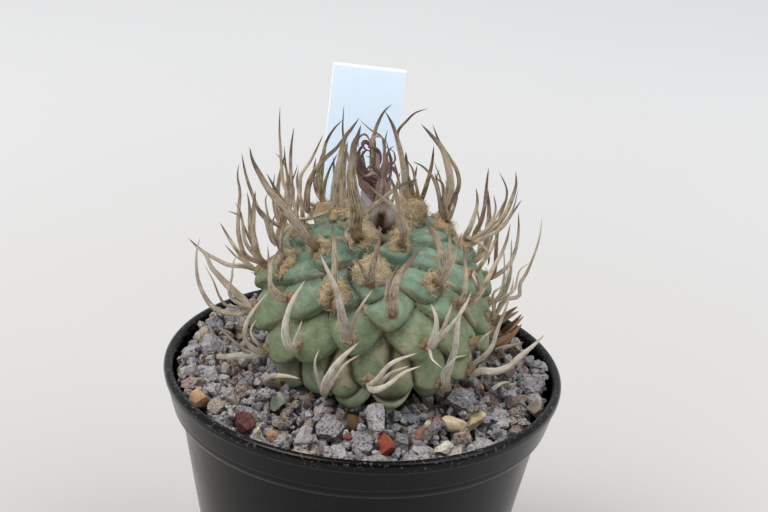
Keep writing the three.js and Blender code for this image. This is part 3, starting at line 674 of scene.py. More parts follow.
groove = (((tubercles.layer("rise") - tubercles.layer("second")) * -2.2).work("EXPONENT")
          * tubercles.given("Groove depth"))
lift = (tubercles.layer("rise") + wrinkle - groove) * (1 - tubercles.layer("rooted")) * MM
shape = tubercles.moved(shape, tubercles.scaled(tubercles.layer("outward", "FLOAT_VECTOR"), lift))
tubercles.end(shape)

root_course = [(1.4, 18.6), (2.6, 22), (3.4, 27), (4.4, 33), (5.2, 38), (6.0, 43), (6.4, 46)]
stem_lengths = np.linspace(0, outline_s[-1], STEM_RINGS + 2)[1:-1]
stem_lengths = stem_lengths[outline_at(stem_lengths)[0] > 6.0]
turns = 2 * np.pi * np.arange(STEM_SIDES) / STEM_SIDES
top_lengths = np.linspace(stem_lengths[-1], outline_s[-1], 8)[1:-1]
stem_rows = [(np.stack(np.broadcast_arrays(
    AXIS_X + r * np.sin(turns), -r * np.cos(turns), z), -1), 0, 1) for r, z in root_course]
stem_rows += [(body_point(turns, s, 0), s, 0) for s in [*stem_lengths, *top_lengths]]
points, faces = ringed([[(AXIS_X, 0, 18)], *(row for row, *_ in stem_rows),
                        [(AXIS_X, 0, EQUATOR_Z + UPPER_HALF)]])
layers = {"turn": [0], "length": [0], "girth": [1], "rooted": [1], "outward": [(0, 0, -1)]}
for _, s, rooted in stem_rows:
    r, z, slope_r, slope_z = outline_at(s)
    layers["turn"].extend(turns)
    layers["length"].extend([s] * STEM_SIDES)
    layers["girth"].extend([float(r)] * STEM_SIDES)
    layers["rooted"].extend([rooted] * STEM_SIDES)
    layers["outward"].extend(np.stack(np.broadcast_arrays(
        slope_r * np.sin(turns), -slope_r * np.cos(turns), slope_z), -1))
for label, value in (("turn", 0), ("length", outline_s[-1]), ("girth", 1), ("rooted", 0),
                     ("outward", (0, 0, 1))):
    layers[label].append(value)
UNREACHED_SKIN = -4.4
layers.update({label: np.full(len(points), value) for label, value in (
    ("rise", UNREACHED_SKIN), ("second", UNREACHED_SKIN), ("chin", 0), ("from_areole", 9),
    ("number", 0))})
stem = new_piece("stem_body", points, faces, layers)

skin = Finish("stem_skin", subsurface_weight=0.06, subsurface_scale=0.0012,
              subsurface_radius=(0.6, 1.0, 0.35), specular_ior_level=0.35)
chin, from_areole = skin.layer("chin"), skin.layer("from_areole")
gap = skin.layer("rise") - skin.layer("second")
# Painted shade: the skin is darkened where it lies deep below the outline.
sunk_shade = (skin.layer("rise") * -1).step(1.1, 3.0)
mottle = skin.noise(2.1, 5, 0.62, warp=0.5)
fine = skin.noise(0.42, 4, 0.65)
old, grown, young = (skin.blend(mottle.step(0.3, 0.7), dark, pale) for dark, pale in (
    ((0.235, 0.265, 0.162), (0.395, 0.430, 0.300)), ((0.116, 0.152, 0.073), (0.210, 0.262, 0.148)),
    ((0.088, 0.152, 0.110), (0.180, 0.274, 0.206))))
height = skin.height() + (mottle - 0.5) * 6
colour = skin.coated(old, (height.step(52, 62), grown), (height.step(66, 74), young))
own_tint = (skin.layer("number") * 0.617).work("FRACT")
colour = skin.node("ShaderNodeHueSaturation", sockets={
    "Hue": 0.5 - (own_tint - 0.5) * 0.02, "Value": own_tint * 0.34 + 0.86, "Color": colour})
# Painted highlight: patches along each chin's rounded edge are paled, as where it catches the
# light.
chin_edge_highlight = (1 - abs(chin - 0.55) * 1.3).held() * skin.noise(1.4, 4, 0.65).step(0.42, 0.66)
# Painted shade: the lower part of each tubercle, near and on its downward-facing chin, is darkened.
under = (1 - chin.step(0.5, 2.6)) * mottle.step(0.2, 0.5)
corky = (1 - gap.step(0.1, 1.5)) * from_areole.step(2.8, 4.2) * 0.36 + skin.noise(2.7, 4, 0.6)
cork = (corky.step(0.56, 0.72) * (skin.noise(0.5, 4, 0.7) * 0.9 + 0.25)).held()
scar = 1 - (from_areole + skin.noise(0.5, 3) * 0.8).step(0.9, 1.7)
wax = (skin.cells(0.30) < 0.13) * (skin.noise(1.2, 2) > 0.45)
# Painted shade: the creases where tubercles meet are darkened.
crease_shade = 1 - (gap + skin.noise(0.8, 3) * 0.5).step(0.3, 1.15)
fleck = (skin.cells(1.5) < 0.16) * (gap < 0.9) * (skin.noise(3.1, 2) > 0.56)
colour = skin.coated(
    colour, (fine.step(0.5, 0.75) * 0.4, (0.34, 0.385, 0.275)),
    (chin_edge_highlight * 0.42, (0.37, 0.405, 0.315)), (under * 0.34, (0.088, 0.115, 0.050)),
    (sunk_shade * 0.35, (0.075, 0.090, 0.040)), (cork * 0.8, (0.43, 0.34, 0.235)),
    (scar * 0.85, (0.20, 0.145, 0.085)), (wax * 0.30, (0.55, 0.58, 0.48)),
    (crease_shade * 0.75, (0.055, 0.058, 0.024)),
    # Painted shade: a near-black line along the joins between tubercles.
    ((1 - gap.step(0.04, 0.34)) * 0.85, (0.016, 0.016, 0.008)), (fleck * 0.85, (0.42, 0.19, 0.07)))
stem_finish = skin.wear(
    Base_Color=colour, Roughness=mottle * 0.12 + cork * 0.2 + 0.50,
    Normal=skin.bump(fine * 0.6 + mottle * 0.8 + skin.noise(0.16, 2) * 0.4 + cork * 0.5, 0.13))
tubercles.grow(stem, stem_finish, Areoles=areole_points, Count=len(numbers), Face_depth=2.3,
               Side_depth=1.2, Half_width=4.8, Chin_drop=0.85, Wrinkle=0.22,
               Groove_depth=0.45)
settled(stem, stem_finish, "stem_skin", "stem")
bpy.data.objects.remove(areole_points)


# The label: a thin tag cut from pale plastic sheet, pushed into the bed behind the plant. It is
# left blank. Its edges are slightly rounded, and it is scuffed and stained where it enters the bed.
def merged_copy(node, name):
    """A CAD node's shape as one joined skin, to be worked on."""
    piece = bpy.data.objects.new(name, frame["nodes"][node].data.copy())
    bpy.context.scene.collection.objects.link(piece)
    weld = piece.modifiers.new("weld", "WELD")
    weld.merge_threshold = 1e-6
    return piece


label = merged_copy("plant_label", "blank_label")
soften = label.modifiers.new("soften", "BEVEL")
soften.width, soften.segments, soften.angle_limit = 0.22 * MM, 3, math.radians(40)
evaluated(label)
# Daylight shines through the thin sheet, and a faint glow stands for it.
label_sheet = Finish("label_sheet", subsurface_weight=0.3, subsurface_scale=0.0006,
                     specular_ior_level=0.45, emission_color=(0.48, 0.64, 1.0),
                     emission_strength=0.3)
stain = ((1 - label_sheet.height().step(50, 60))
         * label_sheet.noise(2.4, 5, 0.65).step(0.3, 0.75)).held()
scuff = label_sheet.noise(1.1, 5, 0.7, warp=1.5).step(0.6, 0.85)
pale = label_sheet.blend(label_sheet.noise(14, 2), (0.80, 0.93, 1.0), (0.83, 0.95, 1.0))
settled(label, label_sheet.wear(
    Base_Color=label_sheet.coated(
        pale, (scuff * 0.3, (0.72, 0.79, 0.84)), (stain * 0.8, (0.22, 0.17, 0.12))),
    Roughness=scuff * 0.25 + 0.38,
    Normal=label_sheet.bump(label_sheet.noise(0.5, 3), 0.01)), "label_plastic", "plant_label")


# The gravel: a thin layer of crushed lava and pumice in grains of two to five millimetres, with
# finer chips settled between them. It was poured round the planted stem, up to the rim behind it.
BED_FOOT, BED_TOP, BED_RADIUS = 46.3, 50.2, 30.3
LABEL_Y = 25.2
label_x = (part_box("plant_label")[0][0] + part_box("plant_label")[1][0]) / 2 / MM
# The stones that stand out: pixel of the middle, width and height in pixels, height of the middle
# over the bed in millimetres, lean in degrees, number of flats, and for some how near the middle
# the flats may come.
STONES = {
    "tan_left": ((200, 398), 18, 21, 0.4, 20, 5),
    "dark_red": ((244, 422), 23, 21, 0.3, -25, 6),
    "mint_chip": ((277, 402), 14, 20, 0.6, -22, 6, 0.3),
    "ochre_round": ((352, 421), 22, 19, 0.4, 0, 4),
    "brick_chip": ((385, 446), 16, 22, 0.5, 24, 7, 0.26),
    "cream_long": ((451, 422), 26, 16, 0.5, -10, 9, 0.36),
    "cream_tilted": ((475, 421), 26, 13, 0.5, 36, 4),
    "cream_wedge": ((535, 408), 15, 24, 0.4, 5, 5, 0.22),
    "pumice_right": ((533, 385), 33, 29, 0.5, 12, 6),
    "pumice_front": ((331, 428), 31, 27, 0.4, 8, 6)}


def stem_radius(height):
    """Radius of the stem under its tubercle tips at a height above the pot's foot."""
    lower = np.clip((EQUATOR_Z - height) / LOWER_HALF, 0, 1)
    return (BODY_RADIUS - 1.6 - 1.2 * lower) * (1 - lower ** SQUARENESS) ** (1 / SQUARENESS)


def banked(at):
    """How much higher the gravel lies than at the front: towards the back wall, round the stem."""
    out = np.hypot(at[:, 0], at[:, 1])
    wall = np.clip((out - 17) / 9, 0, 1) * np.clip((at[:, 1] + 22) / 17, 0, 1)
    return 2.9 * wall + 1.3 * np.clip((21 - out) / 5, 0, 1)


def pushed(at, size, others, other_size, room, strength, own=0):
    """Balls moved off others that come nearer than a share of both their sizes."""
    away = at[:, None] - others[None]
    apart = np.linalg.norm(away, axis=2) + own
    push = np.clip((size[:, None] + other_size[None]) * room - apart, 0, None) / apart
    return at + strength * (away * push[..., None]).sum(1)


def poured(count, seed, small, large, rounds, lowest, lying=None):
    """Grains dropped on the bed and pushed apart until they lie beside and on each other."""
    rng = np.random.default_rng(seed)
    grain = small + (large - small) * rng.random(count) ** 1.7
    inner = np.where(rng.random(count) < 0.16, 0.34, 0.97)
    turn = rng.random(count) * 2 * np.pi
    reach = np.sqrt(rng.uniform(0.15, inner)) * BED_RADIUS
    at = np.stack([reach * np.sin(turn), -reach * np.cos(turn),
                   rng.uniform(lowest, lowest + 4.5, count)], 1)
    at[:, 2] += banked(at)
    # Each stone that stands out keeps its place, and the room before it stays clear.
    still = np.array([
        [*(on_level(pixel, BED_TOP + lift) + clear * to_eye), PIXEL * (wide + tall) / 4]
        for pixel, wide, tall, lift, *_ in STONES.values() for clear in (0, 2, 4)])
    if lying:
        still = np.concatenate([still, np.column_stack([lying[0], lying[1] * 0.85])])
    for _ in range(rounds):
        # Sink a little, then away from each other and from the stones that stand out.
        at[:, 2] -= 0.12
        at = pushed(at, grain, at, grain, 0.86, 0.42, np.eye(count) * 99)
        at = pushed(at, grain, still[:, :3], still[:, 3], 0.9, 0.8)
        # Inside the pot, outside the stem, off the label and under the rim.
        out = np.hypot(at[:, 0], at[:, 1])
        at[:, :2] *= np.minimum(1, (BED_RADIUS - grain * 0.95) / out)[:, None]
        out = np.hypot(at[:, 0] - AXIS_X, at[:, 1])
        share = np.maximum(1, (stem_radius(at[:, 2]) + grain * 0.7) / out)
        at[:, 0] = AXIS_X + (at[:, 0] - AXIS_X) * share
        at[:, 1] *= share
        gap = grain * 0.8 + 0.5
        near = (np.abs(at[:, 0] - label_x) < 6.5) & (np.abs(at[:, 1] - LABEL_Y) < gap)
        at[near, 1] = LABEL_Y + np.sign(at[near, 1] - LABEL_Y) * gap[near]
        under_rim = np.where(
            np.hypot(at[:, 0], at[:, 1]) > 25, POT_HEIGHT + 0.5 - grain * 0.8, 99)
        at[:, 2] = np.clip(at[:, 2], BED_FOOT + banked(at) + grain * 0.8, under_rim)
    return at, grain


lay_grains = Growth("lay_grains", Grains="collection", Detail=int, Crag_size=float,
                    Crag_depth=float, Pore_size=float, Pore_depth=float)
shape = lay_grains.node("GeometryNodeRealizeInstances", sockets=[lay_grains.strewn(
    lay_grains.shape, lay_grains.given("Grains"), lay_grains.layer("kind"),
    lay_grains.node("FunctionNodeEulerToRotation",
                    sockets=[lay_grains.layer("turn", "FLOAT_VECTOR")]),
    lay_grains.layer("size", "FLOAT_VECTOR"))])
shape = lay_grains.node("GeometryNodeSubdivideMesh", sockets=[shape, lay_grains.given("Detail")])


def crumbled(tree, shape):
    """The shape with its skin pushed in and out by lumps and opened by pores."""
    place = tree.node("GeometryNodeInputPosition")
    lumps = tree.noise(place, tree.given("Crag size"), 3.0) - 0.5
    pores = tree.node("ShaderNodeTexVoronoi", sockets={
        "Vector": place, "Scale": 1 / (tree.given("Pore size") * MM)})
    lift = lumps * tree.given("Crag depth") - (1 - pores.step(0.05, 0.5)) * tree.given("Pore depth")
    return tree.moved(shape, tree.scaled(tree.node("GeometryNodeInputNormal"), lift * MM))


lay_grains.end(crumbled(lay_grains, shape), smooth=False)


def chipped_ball(rng, detail, cuts, roughness, nearest, farthest):
    """A ball of radius one with flats cut between two distances from its middle, and an uneven
    skin: points and triangles."""
    golden = (1 + 5 ** 0.5) / 2
    points = [np.array(p, float) for p in (
        (-1, golden, 0), (1, golden, 0), (-1, -golden, 0), (1, -golden, 0),
        (0, -1, golden), (0, 1, golden), (0, -1, -golden), (0, 1, -golden),
        (golden, 0, -1), (golden, 0, 1), (-golden, 0, -1), (-golden, 0, 1))]
    faces = [(0, 11, 5), (0, 5, 1), (0, 1, 7), (0, 7, 10), (0, 10, 11), (1, 5, 9), (5, 11, 4),
             (11, 10, 2), (10, 7, 6), (7, 1, 8), (3, 9, 4), (3, 4, 2), (3, 2, 6), (3, 6, 8),
             (3, 8, 9), (4, 9, 5), (2, 4, 11), (6, 2, 10), (8, 6, 7), (9, 8, 1)]
    points = [p / np.linalg.norm(p) for p in points]
    for _ in range(detail):
        middles, finer = {}, []
        for a, b, c in faces:
            ends = []
            for pair in ((a, b), (b, c), (c, a)):
                key = tuple(sorted(pair))
                if key not in middles:
                    middle = points[pair[0]] + points[pair[1]]
                    middles[key] = len(points)
                    points.append(middle / np.linalg.norm(middle))
                ends.append(middles[key])
            finer += [(a, ends[0], ends[2]), (b, ends[1], ends[0]), (c, ends[2], ends[1]),
                      tuple(ends)]
        faces = finer
    points = np.array(points)
    for _ in range(cuts):
        normal = rng.normal(size=3)
        normal /= np.linalg.norm(normal)
        over = np.clip(points @ normal - rng.uniform(nearest, farthest), 0, None)
        points -= over[:, None] * normal
    return points * rng.uniform(1 - roughness, 1 + roughness, (len(points), 1)), faces


def stored(piece, shapes):
    """Moves a piece out of the scene into a collection of shapes to be strewn."""
    bpy.context.scene.collection.objects.unlink(piece)
    shapes.objects.link(piece)


def discard(shapes):
    """Removes shapes that have been strewn."""
    for piece in list(shapes.objects):
        bpy.data.objects.remove(piece)
    bpy.data.collections.remove(shapes)


GRAIN_KINDS = 14
grain_shapes = bpy.data.collections.new("grain_shapes")
rng = np.random.default_rng(11)
for i in range(GRAIN_KINDS):
    kind = new_piece(f"grain_{i:02d}", *chipped_ball(rng, 1, 9, 0.15, 0.45, 0.8))
    kind.data.transform(Matrix.Scale(1 / MM, 4))
    stored(kind, grain_shapes)

grains = poured(330, 5, 1.0, 2.8, 260, 47.5)
chips = poured(1600, 6, 0.35, 1.1, 45, 50, grains)


def heap(name, poured_grains):
    """Points that carry each grain's kind, turn, size and tint."""
    at, grain = poured_grains
    return new_piece(name, at, [], {
        "kind": rng.integers(0, GRAIN_KINDS, len(at)), "turn": rng.uniform(0, 6.28, (len(at), 3)),
        "size": grain[:, None] * MM * np.stack([rng.uniform(a, b, len(at)) for a, b in (
            (0.95, 1.35), (0.85, 1.15), (0.7, 1.0))], 1), "tint": rng.random(len(at))})


def pitted(name, *tints, pit=0.5, dust=0.45, depth=0.5):
    """Crushed volcanic stone: each grain of its own tint, its pores darkened by painted shade, pale
    dust in the hollows.
    """
    stone = Finish(name, roughness=0.9, specular_ior_level=0.3)
    grey = stone.ramp(stone.layer("tint"), *tints)
    cloud = stone.noise(1.6, 5, 0.65)
    large = (1 - stone.cells(pit).step(0.16, 0.44)) * stone.noise(1.7, 2).step(0.36, 0.55)
    pores = large.at_least((1 - stone.cells(pit * 0.5).step(0.10, 0.36)) * 0.8)
    speckle = stone.noise(0.42, 4, 0.75)
    faded = stone.node("ShaderNodeHueSaturation", sockets={
        "Saturation": 0.85, "Value": 1.6, "Color": grey})
    # Painted shade: the pores are coloured near-black for the shade inside them.
    colour = stone.coated(
        grey, (cloud.step(0.3, 0.75) * 0.5, faded), (pores * 0.66, (0.030, 0.026, 0.027)),
        (speckle.step(0.50, 0.64) * dust, (0.66, 0.64, 0.61)))
    return stone.wear(Base_Color=colour, Normal=stone.bump(
        cloud * 0.6 + speckle * 0.45 - pores * 0.5, depth))


gravel_finish = pitted(
    "lava_gravel", (0.0, (0.215, 0.202, 0.208)), (0.20, (0.300, 0.284, 0.294)),
    (0.38, (0.365, 0.350, 0.345)), (0.52, (0.255, 0.257, 0.284)), (0.66, (0.430, 0.415, 0.405)),
    (0.80, (0.300, 0.225, 0.190)), (0.90, (0.205, 0.135, 0.118)), (1.0, (0.440, 0.385, 0.310)))
for name, pile, detail, crag in (
        ("gravel_grains", grains, 1, 0.8), ("gravel_chips", chips, 0, 0.25)):
    gravel = heap(name, pile)
    lay_grains.grow(gravel, gravel_finish, Grains=grain_shapes, Detail=detail, Crag_size=1.3,
                    Crag_depth=crag, Pore_size=0.7, Pore_depth=0.3 * detail)
    settled(gravel, gravel_finish, "gravel", "gravel_bed")

# Odd bits among the gravel, crumbs of cream, tan, rust and blue-grey rock: pixel, width in
# pixels and colour.
ODD_BITS = [
    ((259, 432), 9, (0.55, 0.47, 0.31)), ((310, 398), 12, (0.36, 0.22, 0.10)),
    ((444, 450), 21, (0.52, 0.50, 0.40)), ((420, 436), 16, (0.22, 0.115, 0.085)),
    ((437, 422), 10, (0.30, 0.14, 0.12)), ((409, 418), 18, (0.20, 0.225, 0.25)),
    ((424, 409), 11, (0.42, 0.45, 0.31)), ((427, 424), 10, (0.46, 0.45, 0.31)),
    ((303, 435), 23, (0.36, 0.35, 0.35)), ((541, 367), 15, (0.36, 0.35, 0.35)),
    ((191, 371), 20, (0.42, 0.41, 0.40)), ((204, 337), 17, (0.38, 0.30, 0.20)),
    ((481, 388), 9, (0.38, 0.22, 0.10)), ((347, 437), 8, (0.24, 0.06, 0.04)),
    ((272, 435), 14, (0.28, 0.17, 0.11)), ((496, 430), 13, (0.22, 0.225, 0.25)),
    ((512, 402), 16, (0.16, 0.125, 0.115)), ((462, 436), 12, (0.34, 0.26, 0.19)),
    ((326, 404), 15, (0.30, 0.32, 0.28))]
odd_bits = new_piece(
    "gravel_odd_bits", [on_level(pixel, BED_TOP + 1.3) for pixel, *_ in ODD_BITS], [], {
        "kind": rng.integers(0, GRAIN_KINDS, len(ODD_BITS)),
        "turn": rng.uniform(0, 6.28, (len(ODD_BITS), 3)),
        "size": [[wide * PIXEL * MM * k for k in (0.58, 0.5, 0.42)] for _, wide, _ in ODD_BITS],
        "rock": [rock for *_, rock in ODD_BITS]})
mixed = Finish("odd_rock", roughness=0.8, specular_ior_level=0.35)
cloud, tooth = mixed.noise(0.9, 4, 0.65), mixed.noise(0.24, 3, 0.7)
mixed_finish = mixed.wear(Base_Color=mixed.node("ShaderNodeHueSaturation", sockets={
    "Value": cloud * 1.1 + tooth * 0.9 + 0.05, "Color": mixed.layer("rock", "Vector")}),
    Normal=mixed.bump(cloud * 0.5 + tooth * 0.5, 0.25))
lay_grains.grow(odd_bits, mixed_finish, Grains=grain_shapes, Detail=2, Crag_size=1.2,
                Crag_depth=0.5, Pore_size=0.7, Pore_depth=0.12)
settled(odd_bits, mixed_finish, "gravel", "gravel_bed")
discard(grain_shapes)


# The ten stones that stand out: water-worn cream and tan pebbles, chips of brick-red, dark red
# and mint-green rock, and two large lumps of pumice. Each lies in its own hollow of the gravel.
weathered = Growth("weathered_stone", Crag_size=float, Crag_depth=float, Pore_size=float,
                   Pore_depth=float)
weathered.end(crumbled(weathered, weathered.shape))


def pebble(name, dark, pale, vein, roughness=0.62):
    """A dense stone: two tones in clouds, thin veins or grains of a third, fine tooth."""
    stone = Finish(name, specular_ior_level=0.4)
    cloud = stone.noise(1.9, 5, 0.6, warp=0.6)
    grains = stone.noise(0.22, 3, 0.7)
    veins = 1 - (abs(stone.noise(1.3, 3, 0.5, warp=1.2) - 0.5) * 12).at_most(1.0)
    colour = stone.blend(cloud.step(0.3, 0.72), dark, pale)
    colour = stone.blend(veins * 0.35 + grains.step(0.58, 0.7) * 0.3, colour, vein)
    return stone.wear(Base_Color=colour, Roughness=grains * 0.2 + roughness,
                      Normal=stone.bump(grains * 0.5 + cloud * 0.5, 0.12))


pale_pumice = pitted("grey_pumice", (0.0, (0.30, 0.285, 0.30)), (1.0, (0.35, 0.335, 0.335)),
                     pit=0.42, dust=0.5, depth=0.4)
STONE_FINISHES = {
    "tan_left": ("stone_tan", pebble(
        "orange_tan_stone", (0.34, 0.17, 0.08), (0.56, 0.33, 0.18), (0.62, 0.52, 0.38))),
    "dark_red": ("stone_red", pebble(
        "dark_red_stone", (0.050, 0.013, 0.012), (0.125, 0.032, 0.028), (0.20, 0.115, 0.11), 0.75)),
    "mint_chip": ("stone_mint", pebble(
        "mint_stone", (0.44, 0.52, 0.40), (0.64, 0.71, 0.56), (0.50, 0.50, 0.42))),
    "ochre_round": ("stone_tan", pebble(
        "ochre_stone", (0.30, 0.18, 0.07), (0.50, 0.33, 0.15), (0.42, 0.38, 0.32))),
    "brick_chip": ("stone_brick", pebble(
        "brick_red_stone", (0.20, 0.034, 0.016), (0.36, 0.072, 0.032), (0.30, 0.13, 0.08))),
    "cream_long": ("stone_cream", pebble(
        "cream_stone", (0.58, 0.47, 0.30), (0.74, 0.66, 0.48), (0.60, 0.36, 0.18))),
    "cream_tilted": ("stone_cream", pebble(
        "yellow_cream_stone", (0.50, 0.40, 0.22), (0.68, 0.57, 0.34), (0.40, 0.34, 0.24))),
    "cream_wedge": ("stone_cream", pebble(
        "buff_stone", (0.40, 0.34, 0.25), (0.54, 0.47, 0.36), (0.36, 0.32, 0.26))),
    "pumice_right": ("pumice", pale_pumice), "pumice_front": ("pumice", pale_pumice)}
rng = np.random.default_rng(23)
for name, (slot, finish) in STONE_FINISHES.items():
    pixel, wide, tall, lift, lean, cuts, *deep = STONES[name]
    points, faces = chipped_ball(rng, 4, cuts, 0, *(deep + [0.5] if deep else (0.42, 0.8)))
    lean = math.radians(lean)
    frame_axes = np.array([math.cos(lean) * image_x + math.sin(lean) * image_y,
                           math.cos(lean) * image_y - math.sin(lean) * image_x, to_eye])
    sizes = PIXEL * np.array([wide, tall, 0.8 * min(wide, tall)]) / np.ptp(points, axis=0)
    points = on_level(pixel, BED_TOP + lift) + (points - points.mean(0)) * sizes @ frame_axes
    stone = new_piece(f"worn_{name}", points, faces)
    porous = slot == "pumice"
    weathered.grow(stone, finish, Crag_size=1.1, Crag_depth=0.8 if porous else 0.3, Pore_size=0.7,
                   Pore_depth=0.3 if porous else 0.03)
    settled(stone, finish, slot, f"stone_{name}")


# The spines: flat, papery blades, one to four on an areole, ribbed along their length. The oldest
# at the foot of the stem are bleached and brittle, those higher up are tan with dark specks, and
# the youngest, round the crown, are olive-brown with dark points.

